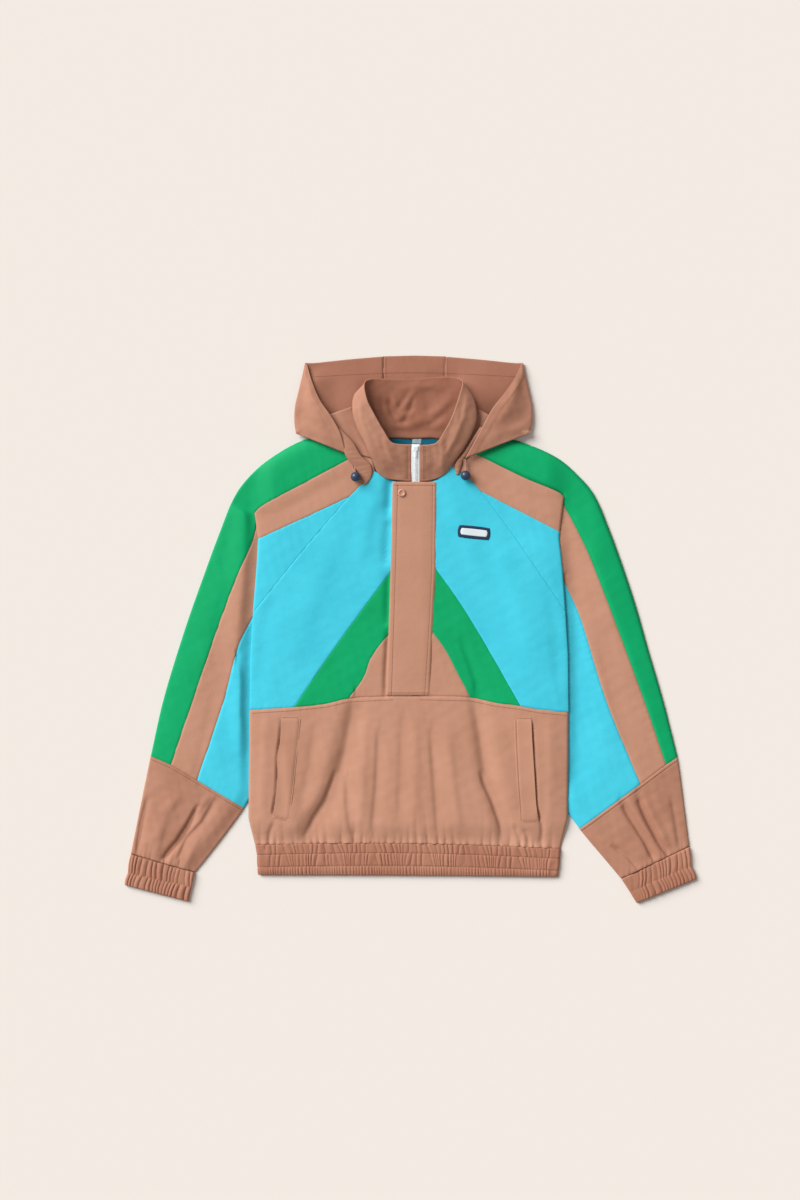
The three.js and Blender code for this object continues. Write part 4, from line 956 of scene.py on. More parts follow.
def tube(outer, inner, bow, columns, crown, under=24, rise=None):
    """A flattened tube: over the top from the outer edge to the inner one, and back along the table."""
    # The steps are closer by the edges, where the cloth turns round.
    over = np.concatenate([[0, 0.004, 0.010, 0.019], np.linspace(0.03, 0.97, columns), [0.981, 0.990, 0.996, 1]])
    back = np.concatenate([[0.99, 0.975], np.linspace(0.95, 0.05, under), [0.025, 0.01, 0]])
    t = np.concatenate([over, back])
    width = np.linalg.norm(inner - outer, axis=1)[:, None]
    plan = outer[:, None] + (inner - outer)[:, None] * t[None, :, None]
    plan[..., 1] += bow[:, None] * np.sin(math.pi * t)[None]
    if rise is not None:
        plan[:, : len(over), 1] += rise(over)
    top, low = crown(plan[..., 0], plan[..., 1], t[None] * width), 0.45
    from_edge = np.clip(np.minimum(t, 1 - t)[None] * width / 3.0, 0, 1)
    round_over = np.sqrt(np.clip(1 - (1 - from_edge) ** 2, 0, 1))
    middle = (top + low) / 2
    is_over = (np.arange(len(t)) < len(over))[None]
    z = np.where(is_over, middle + (top - middle) * round_over, middle + (low - middle) * round_over)
    z[:, -1] = z[:, 0]
    return raised(plan, z)


def rows_of(table, key, side, count):
    """One edge of a tube as count points, from a table of its rows."""
    points = [row[key][side] if side else row[key] for row in table]
    return curve_at(points, np.linspace(0, len(points) - 1, count))


def stitched_down(share, rows):
    """Zero at each stitched row and one midway between two of them."""
    rise = np.zeros_like(share)
    for a, b in zip(rows[:-1], rows[1:]):
        inside = (share >= a) & (share <= b)
        rise = np.where(inside, np.sin(math.pi * np.clip((share - a) / (b - a), 0, 1)) ** 0.3, rise)
    return rise


def strip_ends(side):
    """Where the seams of a sleeve's three strips end, from its outer edge to its inner one."""
    return np.array([edge[-1][side] for edge in (OUTER, STRIPE_TOP_SLEEVE, STRIPE_LOW_SLEEVE, INNER)], float)


# Gathers of the forearms above the cuffs: the two long creases of each are deep and the rest are short.
FOREARM_FOLDS = [
    (((-374, -312), (-390, -344), (-408, -372), (-431, -400)), -5.0, 3.2, 6),
    (((-352, -292), (-372, -318), (-396, -352)), 1.6, 7, 5),
    (((-400, -362), (-416, -388), (-424, -412)), 1.6, 5, 4),
    (((-342, -300), (-364, -338), (-390, -365), (-405, -399)), -3.2, 4, 9),
    (((-430, -340), (-440, -370), (-446, -400)), 1.4, 8, 6),
    (((-461, -300), (-470, -338), (-474, -365), (-479, -393)), -2.6, 3.5, 6),
    (((-372, -372), (-384, -392), (-392, -412)), 1.2, 6, 6),
    (((398, -302), (414, -334), (432, -368), (449, -394)), -4.4, 2.8, 5),
    (((404, -292), (424, -330), (446, -374)), 2.4, 4, 8),
    (((372, -312), (389, -338), (410, -372), (422, -398)), -3.8, 2.8, 6),
    (((380, -296), (404, -336), (424, -366)), 2.2, 5, 7),
    (((456, -296), (463, -334), (469, -378)), -1.6, 4, 7),
    (((352, -380), (378, -396), (394, -414)), -2.8, 3, 6),
]
for side, tag, out in SIDES:

    def forearm_crown(x, y, along):
        away = to_path(x, y, [CUFF[0]["outer"][side], CUFF[0]["inner"][side]])[0]
        z = sleeve_height(x, y) + folded(x, y, FOREARM_FOLDS)
        z += 0.35 * uneven(x, y, 42, 1.1 * out) + 0.2 * uneven(x, y, 17, 2.2 * out)
        reach = 9.5 + 4 * np.sin(along / 8.7 + out) + 3 * np.sin(along / 4.1)
        z += 1.15 * pleats(along, 13.5, 2.0 * out) * np.exp(-np.maximum(away, 0) / reach)
        z -= 1.1 * bell(away, 2.2)
        seam = to_path(x, y, strips)[0]
        z -= (
            0.6 * bell(seam, 1.6)
            - 0.2 * bell(seam - 3.5, 1.6)
            + 0.45 * bell(seam - 5.5, 1.2)
        )
        return np.maximum(z, 1.8)

    # The top edge rises to the seam of the three strips, and the rise dies away down the arm.
    strips = strip_ends(side)
    level = np.abs(strips[:, 0] - strips[0, 0]) / abs(strips[3, 0] - strips[0, 0])
    count, columns = FOREARM_MESH
    fade = np.clip(1 - np.linspace(0, 3, count), 0, 1)[:, None]

    def seam_rise(t):
        return fade * (np.interp(t, level, strips[:, 1]) - (strips[0, 1] + (strips[3, 1] - strips[0, 1]) * t))[None]

    outer, inner = rows_of(ARM_LOW, "outer", side, count), rows_of(ARM_LOW, "inner", side, count)
    points = tube(outer, inner, np.zeros(count), columns, forearm_crown, rise=seam_rise)
    add_cloth(
        "forearm_" + tag, points, BROWN_PAINTED_SHADE, ["lower_sleeve_" + tag], closed=True
    )

    count, columns = CUFF_MESH
    share = np.linspace(0, 1, count)[:, None]
    puff = stitched_down(share, (0, 0.5, 1.0))

    def cuff_crown(x, y, along):
        lean = 5 * share * np.sin(along / 9 + out)
        upper = pleats(along + lean, 8.4, 0.6 + out)
        lower = pleats(along + 1.8 + 0.6 * lean, 7.0, 2.9 + out)
        wave = np.where(share < 0.5, upper, lower)
        flat = smooth(along, 92, 104) if side == "r" else np.zeros_like(along)
        return SLEEVE_EDGE + 2.1 + 0.9 * puff + (0.9 + 1.5 * puff) * wave * (1 - 0.85 * flat) - 0.5 * (1 - puff) ** 4

    outer, inner = rows_of(CUFF, "outer", side, count), rows_of(CUFF, "inner", side, count)
    middle = (outer + inner) / 2
    outer = outer + (outer - middle) / np.linalg.norm(outer - middle, axis=1)[:, None] * (0.9 * puff - 0.5)
    inner = inner + (inner - middle) / np.linalg.norm(inner - middle, axis=1)[:, None] * (0.9 * puff - 0.5)
    points = tube(outer, inner, np.zeros(count), columns, cuff_crown)
    add_cloth(
        "cuff_band_" + tag, points, BROWN_GATHERED_PAINTED_SHADE, ["cuff_" + tag],
        fullness=CUFF_FULLNESS, closed=True,
    )

count, columns = HEM_MESH
share = np.linspace(0, 1, count)[:, None]
puff = stitched_down(share, (0, 0.4, 0.8, 1.12))


def hem_crown(x, y, along):
    inside = np.maximum(0, inside_side(x, y))
    base = HEM_EDGE + 0.9 + 1.2 * (1 - np.exp(-inside / 12))
    lean = 8 * share * np.sin(along / 13) + 4 * share * np.sin(along / 5)
    upper, middle = pleats(along + lean, 9.4, 0.4), pleats(along + lean + 2, 6.9, 1.7)
    lower = pleats(along + 4, 5.2, 3.3)
    wave = np.where(share < 0.4, upper, np.where(share < 0.8, middle, 0.8 * lower))
    edge = smooth(share, 0.86, 1.0)
    return base + 0.4 + 0.7 * puff + (0.6 + 0.9 * puff) * wave - 0.5 * (1 - puff) ** 4 * (1 - edge) - 1.6 * edge**2


left, right = rows_of(HEM, "left", None, count), rows_of(HEM, "right", None, count)
left[:, 0] -= (1.1 * puff - 0.6)[:, 0]
right[:, 0] += (1.1 * puff - 0.6)[:, 0]
bow = np.interp(np.linspace(0, 5, count), range(6), [row["bow"] for row in HEM])
points = tube(left, right, bow, columns, hem_crown, under=70)
add_cloth(
    "hem_band_shell", points, BROWN_GATHERED_PAINTED_SHADE, ["hem_band"],
    fullness=HEM_FULLNESS, closed=True,
)

# ---------------------------------------------------------------- collar and neck facing
# The stand collar is one doubled strip of brown nylon. It leans back behind the neck and folds out at the sides.
# Its inside is drawn a darker brown, painted shade of the hollow it faces, and a teal facing covers the back neck seam
# below it.
BROWN_INSIDE_PAINTED_SHADE = nylon("brown_nylon_wrong_side", "#a06a54", "#97614c", 1.2)
COLLAR = table(
    base=[
        (ZIP["l"], 258.5), (-20, 260), (-44, 264), (-58, 275.5), (-63.5, 290), (-65, 304), (-66, 316),
        (-58, 326), (-36, 333.5), (5, 333), (44, 333.5), (64, 326), (72, 320), (73, 306), (72, 293), (67, 279),
        (54, 267), (35, 260), (ZIP["r"], 258),
    ],
    mid=[
        (ZIP["l"], 290, 22), (-21, 292, 23), (-47, 299, 27), (-67, 315, 29), (-84, 345, 30), (-99, 378, 28),
        (-98, 402, 20), (-80, 388, 12), (-42, 388, 7.5), (5, 388, 7), (50, 388, 7.5), (86, 390, 11),
        (109, 398, 18), (115, 376, 24), (106, 347, 26), (86, 316, 27), (60, 297, 25), (36, 291, 23),
        (ZIP["r"], 290, 22),
    ],
    rim=[
        (ZIP["l"], 321.7, 31), (-22, 322.5, 32), (-33, 326, 33), (-46, 345, 35), (-62, 373, 36), (-75, 399, 35),
        (-79, 430, 27), (-66, 437, 18), (-42, 437.5, 13), (8, 438, 12), (50, 441, 13), (78, 440, 18),
        (90, 432, 28), (83, 402, 37), (72, 370, 38), (59, 345, 37), (45, 325, 34), (34, 321.5, 32),
        (ZIP["r"], 321, 31),
    ],
)
# Wrinkles of the collar's back, pressed by the hood that lies behind it.
COLLAR_FOLDS = [
    (((-40, 364), (8, 361), (58, 363)), 2.3, 13),
    (((-4, 412), (-16, 392), (-34, 372)), -2.0, 6, 9),
    (((-46, 398), (-30, 384), (-14, 366)), -1.8, 5, 8),
    (((22, 424), (34, 396), (30, 366)), -1.6, 9, 13),
    (((-37, 402), (-34, 378), (-24, 362), (-6, 362)), -3.4, 4.5),
    (((-30, 404), (-25, 386), (-14, 374), (-2, 376)), 2.6, 5),
    (((-16, 384), (-2, 400), (6, 414)), 2.4, 5),
    (((4, 408), (0, 384), (-12, 364)), -2.6, 4),
    (((-52, 402), (-48, 378), (-38, 356)), -2.4, 4.5),
    (((-62, 392), (-54, 366), (-46, 350)), 1.8, 6),
    (((30, 372), (52, 384), (70, 404)), 2.2, 8),
    (((12, 352), (34, 358), (54, 372)), -2.0, 6),
    (((-20, 420), (20, 424), (56, 424)), 1.3, 7),
    (((-40, 346), (0, 343), (44, 346)), -1.5, 7),
]
COLLAR_FRONT_FOLDS = [
    (((-46, 329), (-38, 310), (-31, 293), (-13, 270)), -2.0, 3.5, 8),
    (((-61, 316), (-44, 289), (-26, 268)), 1.4, 6, 8),
    (((-78, 372), (-66, 346), (-54, 322)), -1.5, 4, 7),
    (((48, 338), (56, 312), (54, 284)), -1.8, 3.5, 8),
    (((33, 318), (40, 298), (38, 274)), 1.2, 7, 7),
    (((84, 380), (78, 350), (66, 322)), -1.6, 4, 8),
    (((96, 400), (92, 372), (78, 336), (62, 306)), -2.2, 3, 7),
    (((-88, 392), (-84, 362), (-72, 330)), -1.8, 3, 7),
]


def normals_of(points):
    """The normal of a grid at each of its points."""
    normals = np.cross(np.gradient(points, axis=1), np.gradient(points, axis=0))
    return normals / np.maximum(np.linalg.norm(normals, axis=2), 1e-9)[..., None]


def draped(sections, across, along):
    """A grid on the smooth surface through rows of section points."""
    count = len(sections[0]) - 1
    fine = [curve_at(section, np.linspace(0, count, across)) for section in sections]
    levels = [curve_at([section[k] for section in fine], np.linspace(0, len(fine) - 1, along)) for k in range(across)]
    return np.array(levels)


NECK_BACK_LOW = 322  # beyond this the collar stands on the back, not on the front
collar_sections = []
for row in COLLAR:
    x, y = row["base"]
    base = TABLE + PLY + 1.2 if y > NECK_BACK_LOW else height_at(body_height, x, y) + 1.25
    collar_sections.append([(x, y, base), row["mid"], row["rim"]])
across, along = 36, 220
points = draped(collar_sections, across, along)
level = np.linspace(0, 1, across)[:, None]
share = np.linspace(0, 1, along)[None]
behind = smooth(share, 0.33, 0.42) * (1 - smooth(share, 0.58, 0.67))
x, y = points[..., 0], points[..., 1]
lift = behind * folded(x, y, COLLAR_FOLDS) + (1 - behind) * folded(x, y, COLLAR_FRONT_FOLDS)
lift *= smooth(level, 0, 0.15) * (1 - smooth(level, 0.9, 1))
lift += 0.5 * (1 - behind) * np.sin(9 * math.pi * share + 2 * level + 1.0) * np.sin(math.pi * level)
lift += 0.35 * uneven(x, y, 34, 0.4) + 0.18 * uneven(x, y, 13, 1.9)
lift += 0.25 * np.exp(-(((level - 1) * 60 / 3) ** 2)) * np.sin(share * 95 + 3 * np.sin(share * 31))
points = points + normals_of(points) * lift[..., None]
collar = add_cloth(
    "collar_shell", points, BROWN_PAINTED_SHADE, ["collar"],
    wall=DOUBLED,
)
outward = sum((f.center.x - 0.005) * f.normal.x + (f.center.y - 0.34) * f.normal.y for f in collar.data.polygons)
# The collar's inside takes the darker brown: painted shade.
line_with(collar, BROWN_INSIDE_PAINTED_SHADE, outward < 0)

TEAL = nylon("teal_facing_taffeta", "#0f6880", "#0d5e76", 0.6)
plan = between((-56, 343), (62, 343), (-60, 292), (67, 292))
points = placed(plan, lambda x, y: TABLE + PLY - 0.6 * smooth(y, 334, 341), seed=3.0, roll=(0, 1, 1, 1), crumple=0.2)
add_cloth("neck_facing_shell", points, TEAL, ["neck_facing"])
WOVEN_LABEL = nylon("pale_woven_label", "#9fb2b8", "#8fa4ab", 0.3)
plan = between((3.7, 336.2), (19.7, 335.6), (3.3, 324.4), (19.3, 323.8), step=1.2)
points = placed(plan, lambda x, y: TABLE + PLY + 0.9, seed=1.0, roll=(0, 0, 0.4, 0.4), crumple=0.1)
add_cloth("size_tab", points, WOVEN_LABEL, [])

# ---------------------------------------------------------------- hood
# The hood is three brown panels: a crown strip and two sides, which fold forward over the shoulders.
# Laid open, it shows its inside behind the collar and its outside on the two folded wings.
HOOD = {
    "l": table(
        seam=[(-46.2, 477.3), (-46.2, 450), (-46.2, 423), (-46.2, 396), (-46.2, 369), (-46.2, 342)],
        fold=[
            (-184, 465.5, 3.2), (-188.5, 444, 5), (-195.5, 415, 6.5), (-201.5, 388, 7.5), (-202.4, 362, 8),
            (-199.6, 342, 9),
        ],
        rim=[
            (-180.5, 462.5, 5), (-173, 436, 12), (-158, 400, 18), (-138, 371, 22), (-122, 342, 22),
            (-112, 306.5, 18.2),
        ],
    ),
    "r": table(
        seam=[(60.6, 476.8), (60.6, 450), (60.6, 423), (60.6, 396), (60.6, 369), (60.6, 342)],
        fold=[
            (197, 465.5, 3.2), (200.5, 444, 5), (207, 415, 5.5), (212, 388, 6), (212.4, 362, 6.5), (207, 342, 8),
        ],
        rim=[
            (193.5, 462.5, 5), (183, 440, 12), (165, 413, 18), (143, 385, 22), (120.5, 344, 23), (95, 297.5, 20),
        ],
    ),
}
# Casing of the drawcord along the rim, from under the side of the hood to its tip.
CASING = {
    "l": table(
        outer=[
            (-131, 352, 20.8), (-119, 326, 20.5), (-113, 303, 19.5), (-98.4, 283.8, 15.6), (-88, 267, 13.8),
            (-81.5, 251.5, 13),
        ],
        inner=[
            (-122, 349, 20.6), (-100, 326, 19.6), (-86, 303, 18), (-69, 286, 15.6), (-67, 271, 13.8),
            (-74, 256, 13),
        ],
    ),
    "r": table(
        outer=[(129, 352, 20.9), (113, 328, 19.4), (99, 304, 17.8), (92, 295, 16), (88, 282, 14), (85.5, 272, 13)],
        inner=[(121, 352, 20.9), (104, 326, 19.4), (88, 302, 17.8), (79.5, 291, 16), (78, 279, 14), (80, 270, 13)],
    ),
}
HOOD_NECK = {
    "l": {"out": ((-141, 375), (-97, 306)), "in": ((-97, 391), (-67, 299))},
    "r": {"out": ((139, 373), (102, 315)), "in": ((114, 388), (82, 303))},
}
# The hood's inside is drawn darker than the body's brown: painted shade of its hollow behind the collar.
HOOD_INSIDE_PAINTED_SHADE = nylon("brown_nylon_hood_inside", "#a8725c", "#9f6a55", 1.2)


def hood_top(x):
    """The hood's upper fold, highest in its middle."""
    return 478.6 - np.abs(x - 7) / 40


def crown_height(x, y):
    """The crown lies on the table; its hem along the rim is a second layer, 28 mm deep."""
    z = 0.55 + 0.35 * smooth(y, 447.5, 449.5) * (1 - smooth(y, 474, 478))
    return z + 0.25 * (1 + uneven(x, y, 55, 0.8)) + 0.12 * (1 + uneven(x, y, 21, 2.8))


left, right, foot, head = -47.4, 61, 342, 477.3
xs = np.array([left, -19.5, 7.2, 34, right])
plan = coons(
    np.stack([xs, hood_top(xs)], axis=1),
    straight((left, foot), (right, foot)),
    straight((left, head), (left, foot)),
    straight((right, head), (right, foot)),
)
points = placed(plan, crown_height, crumple=0, roll=(0, 0, 0.5, 0.5))
crown = add_cloth("hood_crown_panel", points, HOOD_INSIDE_PAINTED_SHADE, ["hood_crown"])

# Wrinkles of the hood's folded wings, seen on their outside.
WING_FOLDS = [
    (((-176, 440), (-178, 405), (-164, 375), (-146, 350)), 1.3, 9),
    (((-196, 380), (-180, 362), (-160, 350)), -1.2, 9),
    (((-186, 352), (-160, 344), (-136, 330)), 1.0, 8),
    (((-120, 312), (-112, 296), (-104, 284)), -1.6, 5),
    (((186, 442), (184, 410), (170, 384), (152, 362)), 1.3, 9),
    (((206, 384), (188, 366), (166, 356)), -1.2, 9),
    (((196, 350), (166, 346), (140, 334)), 1.0, 8),
]
for side, tag, out in SIDES:
    sections = []
    for row in HOOD[side]:
        seam, fold, rim = (np.array(row[key], float) for key in ("seam", "fold", "rim"))
        wing = abs(fold[0] - rim[0])
        over = min(13, 0.3 * wing)
        base = [np.array([*(seam[:2] + (fold[:2] - seam[:2]) * share), TABLE]) for share in (0, 0.45)]
        bend = fold[1] + (rim[1] - fold[1]) * over / wing
        turned = np.array([fold[0] - out * over, bend, fold[2] + min(4.5, over)])
        middle = fold + (rim - fold) * 0.6
        middle[2] += min(4, 0.1 * wing)
        below = np.array([fold[0] - out * 12, fold[1], TABLE + 0.4])
        sections.append([*base, below, fold, turned, middle, rim])
    across, along = 73, 56
    points = draped(sections, across, along)
    w = np.linspace(0, 6, across)[:, None]
    x, y = points[..., 0], points[..., 1]
    over_shoulder = np.where(y < 346, np.maximum(points[..., 2], shoulder_height(x, y) + PLY + 1), points[..., 2])
    on_wing = smooth(w, 3.0, 3.6)
    lift = on_wing * (folded(x, y, WING_FOLDS) + 0.45 * uneven(x, y, 38, 1.5 * out) + 0.2 * uneven(x, y, 15, out))
    from_seam = smooth(abs(x - HOOD[side][0]["seam"][0]), 0, 9)
    lift += (1 - smooth(w, 1.8, 2.6)) * 0.25 * (1 + uneven(x, y, 50, 2.5 * out)) * from_seam
    # Behind the collar the hood is propped up by it, and slopes down to the table outside it.
    propped = np.exp(-(((np.abs(x) - 100) / 38) ** 2) - ((y - 394) / 38) ** 2) * smooth(np.abs(x), 78, 96)
    turning = bell(np.abs(x) - 172, 30) * smooth(y, 345, 385) * (1 - smooth(y, 430, 462))
    lift += ((3.5 * propped + 9 * turning) if side == "l" else 13 * propped) * (1 - smooth(w, 1.6, 2.6)) * from_seam
    from_rim = np.linalg.norm(points - points[-1:], axis=2)
    hem = 1 - smooth(from_rim, 15.5, 17.5)
    on_top = over_shoulder + lift + 0.7 * hem * on_wing
    points[..., 2] = np.where(w >= 3, on_top, np.maximum(points[..., 2], 0.55) + lift)
    wing = add_cloth(
        "hood_side_panel_" + tag, points, HOOD_INSIDE_PAINTED_SHADE, ["hood_side_" + tag],
    )
    line_with(wing, BROWN_PAINTED_SHADE, sum(wing.data.polygons[i].normal.z for i in range(3 * (along - 1))) < 0)

    rows, columns = 44, 14
    casing = CASING[side]
    outer = curve_at([row["outer"] for row in casing], np.linspace(0, 5, rows))
    inner = curve_at([row["inner"] for row in casing], np.linspace(0, 5, rows))
    t = np.linspace(0, 1, columns)
    points = outer[:, None] * (1 - t)[None, :, None] + inner[:, None] * t[None, :, None]
    run = np.concatenate([[0], np.cumsum(np.linalg.norm(np.diff((outer + inner) / 2, axis=0), axis=1))])[:, None]
    ripple = 0.7 * pleats(run + 3 * t[None], 9.5, 1.4 * out) * smooth(run, 10, 45)
    bulge = 1.3 * np.sin(math.pi * t)[None] ** 0.8
    points[..., 2] += bulge + ripple * np.sin(math.pi * np.clip(t * 0.9 + 0.05, 0, 1))[None] - 0.9
    add_cloth(
        "hood_casing_shell_" + tag, points, BROWN_PAINTED_SHADE, ["hood_casing_" + tag],
    )

    neck = HOOD_NECK[side]
    rows, columns = 30, 20
    s, t = np.linspace(0, 1, rows)[:, None, None], np.linspace(0, 1, columns)[None, :, None]
    outer = np.array(neck["out"][0]) * (1 - s) + np.array(neck["out"][1]) * s
    inner = np.array(neck["in"][0]) * (1 - s) + np.array(neck["in"][1]) * s
    plan = outer * (1 - t) + inner * t
    dip = (2.5 * smooth(t, 0.6, 1) + 5.5 * smooth(t, 0.84, 0.96)) * (1 - smooth(s, 0.55, 0.85))
    z = 13.4 + 0.5 * np.sin(math.pi * s) - 1.2 * t - dip
    z = z + 0.8 * np.sin(2.3 * math.pi * t + 2.2 * s + out) * np.sin(math.pi * t)
    points = np.concatenate([plan, z + 0.3 * uneven(plan[..., :1], plan[..., 1:], 24, out)], axis=2)
    add_cloth(
        "hood_neck_shell_" + tag, points, BROWN_PAINTED_SHADE, ["hood_neck_" + tag],
    )

# ---------------------------------------------------------------- zip
# A white moulded-tooth zip runs from the waist to the top of the collar, most of it under the placket.
# Its two woven tapes are sewn under the edges of the front, and the teeth are moulded on the tapes' inner edges.
ZIP_TAPE = nylon("white_woven_polyester_tape", "#f1f4f6", "#e9eef2", 0.25)
zip_section = curve_at(collar_sections[0], np.linspace(0, 2, 40))[:, 1:]


def zip_height(x, y):
    """The zip follows the front, then the front of the collar."""
    below = body_height(x, y)
    on_collar = np.interp(y, zip_section[:, 0], zip_section[:, 1])
    return below + (on_collar - below) * smooth(y, 254, 260)


columns = np.array([0, 1.2, 3, 4.6, 5.0, 6.2, 7.55, 8.9, 10.1, 10.5, 12.1, 13.9, 15.1]) / 15.1
heights = np.concatenate([[321.9], np.arange(319, -116, -3.0)])
plan = np.stack(np.meshgrid(ZIP["l"] + 0.25 + columns * 14.6, heights), axis=-1)
middle = (ZIP["l"] + ZIP["r"]) / 2
z = zip_height(plan[..., 0], plan[..., 1]) + 0.35 * np.exp(-((plan[..., 0] - middle) / 3.2) ** 4)
points = raised(plan, z)
add_cloth("zip_tape", points, ZIP_TAPE, ["zip"])

# Moulded acetal teeth: glossy white, one every 2.6 mm on each tape, set alternately, with a slider at the top.
ACETAL = two_tones("white_moulded_acetal", 220.0, 2.0, "#e8edf0", "#f3f6f8", Roughness=0.35)
TOOTH = (3.0, 1.05, 1.1)
# Body and pull of the slider: place along the zip, height above the tape, size.
SLIDER = ((315, 1.6, (8.4, 8, 2.6)), (305.5, 2.6, (3.4, 13, 1.0)))
bm = bmesh.new()
for i, y in enumerate(np.arange(-112, 318, 1.3)):
    side = -1 if i % 2 else 1
    x = middle + side * 1.1
    z = height_at(zip_height, x, y) + 0.95
    slope = math.atan2(height_at(zip_height, x, y + 1) + 0.95 - z, 1)
    place = Matrix.Translation(to_frame(x, y, z)) @ Matrix.Rotation(slope, 4, "X")
    tooth = bmesh.ops.create_cube(bm, size=MM, matrix=place @ Matrix.Diagonal((*TOOTH, 1)))
    top = [v for v in tooth["verts"] if (v.co - place.translation).dot(place.to_3x3().col[2]) > 0]
    bmesh.ops.scale(bm, vec=(0.82, 0.82, 1), verts=top, space=Matrix.Translation(-place.translation))
for y, above, size in SLIDER:
    z = height_at(zip_height, middle, y) + above
    slope = math.atan2(height_at(zip_height, middle, y + 1) - height_at(zip_height, middle, y - 1), 2)
    place = Matrix.Translation(to_frame(middle, y, z)) @ Matrix.Rotation(slope, 4, "X")
    block = bmesh.ops.create_cube(bm, size=MM, matrix=place @ Matrix.Diagonal((*size, 1)))
    edges = list({e for v in block["verts"] for e in v.link_edges})
    rounding = min(size) * 0.35 * MM
    bmesh.ops.bevel(bm, geom=edges, offset=rounding, segments=2, affect="EDGES", profile=0.5, material=-1)
zip_teeth = add_piece("zip_teeth", bm, ACETAL)
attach(zip_teeth, "root")

# ---------------------------------------------------------------- placket, snap, welts and patch
# The placket is a doubled strip of brown nylon, stitched down beside the zip and closed by a snap at the top.
# Each pocket mouth has a welt, open along its outer edge and stitched down along the other three.
PLACKET = {
    "left": [(-31, 257.6), (-31.2, 252.8), (-34.5, 103), (-38, -6), (-42, -115.5)],
    "right": [(45.3, 257.2), (45.2, 252.8), (43.8, 103), (37.8, -6), (33.5, -115.5)],
}
WELT_SEAM = {
    "l": [(-191.5, -151.5), (-194, -182), (-198, -221), (-202, -260), (-206.5, -299), (-212, -336)],
    "r": [(181, -153), (182, -190), (184, -231), (186, -270), (189, -308), (191, -338)],
}
WELT_GAPE = {"l": 1.0, "r": 1.7}  # how far a welt stands off at its mouth
# Centre, size and turn of the chest patch, mm and degrees.
PATCH = {"x": 111, "y": 169, "width": 57, "height": 22, "tilt": -6}
ON_FRONT = PLY + 0.4  # from the front to the doubled placket on it


def polyline(points, spacing):
    """A line's points at an even spacing, mm."""
    points = np.asarray(points, float)
    return resampled(points, np.linspace(0, 1, max(2, round(length_of(points) / spacing) + 1)))


left, right = polyline(PLACKET["left"], 3), polyline(PLACKET["right"], 3)
plan = coons(straight(left[0], right[0]), straight(left[-1], right[-1]), left, right, step=2.6)
seam_rows = [(-22.5, -26.5, -30, -33.5), (38.2, 37.0, 31.5, 24.5)]
row_y = (252.8, 103, -6, -115.5)
x, y = plan[..., 0], plan[..., 1]
z = body_height(np.maximum(x, -20), y) + ON_FRONT + 0.3 * uneven(x, y, 70, 2.2)
z -= 1.2 * smooth(x, 20, 44) + 0.9 * smooth(-y, 70, 112)
for row in seam_rows:
    away = x - np.interp(-y, [-v for v in row_y], row)
    z -= 0.4 * bell(away, 1.5)
z -= 0.4 * bell(y - 251.5, 1.5)
points = sewn(raised(plan, z), roll=(0.8, 1.4, 0.9, 1.5), pucker=(0.1, 0.1, 0.12, 0.2))
placket = add_cloth(
    "placket_shell", points, BROWN, ["placket"], wall=DOUBLED
)

for side, tag, out in SIDES:
    mouth, seam = (curve_at(edge[side], np.linspace(0, 5, 80)) for edge in (POCKET_MOUTH, WELT_SEAM))
    plan = coons(straight(mouth[0], seam[0]), straight(mouth[-1], seam[-1]), mouth, seam, step=2.4)
    x, y = plan[..., 0], plan[..., 1]
    across, down = grid_reach(raised(plan, 0 * x))
    near_mouth = np.exp(-across / 13)
    ends = np.minimum(down, down[-1:] - down)
    gape = WELT_GAPE[side] * near_mouth * smooth(ends, 0, 14)
    z = body_height(x, y) + 0.75 + gape + 0.25 * uneven(x, y, 40, 1.7)
    z -= 0.9 * bell(ends - 3, 1.3) + 0.9 * bell(across[:, -1:] - across - 3, 1.3)
    z -= 0.7 * bell(np.minimum(ends, across[:, -1:] - across), 1.2)
    points = raised(plan, z)
    add_cloth(
        "pocket_welt_shell_" + tag, points, BROWN, ["pocket_welt_" + tag]
    )

# The patch is a plain navy woven tab with a paler field, heat-cut and stitched down; it carries no words.
PATCH_WEAVE = nylon("navy_woven_patch", "#2b3954", "#25324b", 0.2)
PATCH_FIELD = nylon("pale_woven_field", "#dfe6ea", "#d3dce2", 0.2)
turn = math.radians(PATCH["tilt"])
PATCH_LAYERS = (("chest_patch_tab", 0.0, 0.0, PATCH_WEAVE), ("chest_patch_field", 5.0, 0.5, PATCH_FIELD))
for name, inset, lift, cloth in PATCH_LAYERS:
    w, h = PATCH["width"] - 2 * inset, PATCH["height"] - 2 * inset
    u, v = np.meshgrid(np.linspace(-1, 1, 41), np.linspace(1, -1, 21))
    a = u * np.sqrt(1 - 0.5 * (v * 0.55) ** 2) * w / 2
    b = v * np.sqrt(1 - 0.5 * (u * 0.55) ** 2) * h / 2
    x = PATCH["x"] + a * math.cos(turn) - b * math.sin(turn)
    y = PATCH["y"] + a * math.sin(turn) + b * math.cos(turn)
    plan = np.stack([x, y], axis=-1)
    z = body_height(plan[..., 0], plan[..., 1]) + 1.3 + lift - 0.5 * np.maximum(np.abs(u), np.abs(v)) ** 12
    points = raised(plan, z)
    add_cloth(name, points, cloth, ["chest_patch"] if inset == 0 else [])

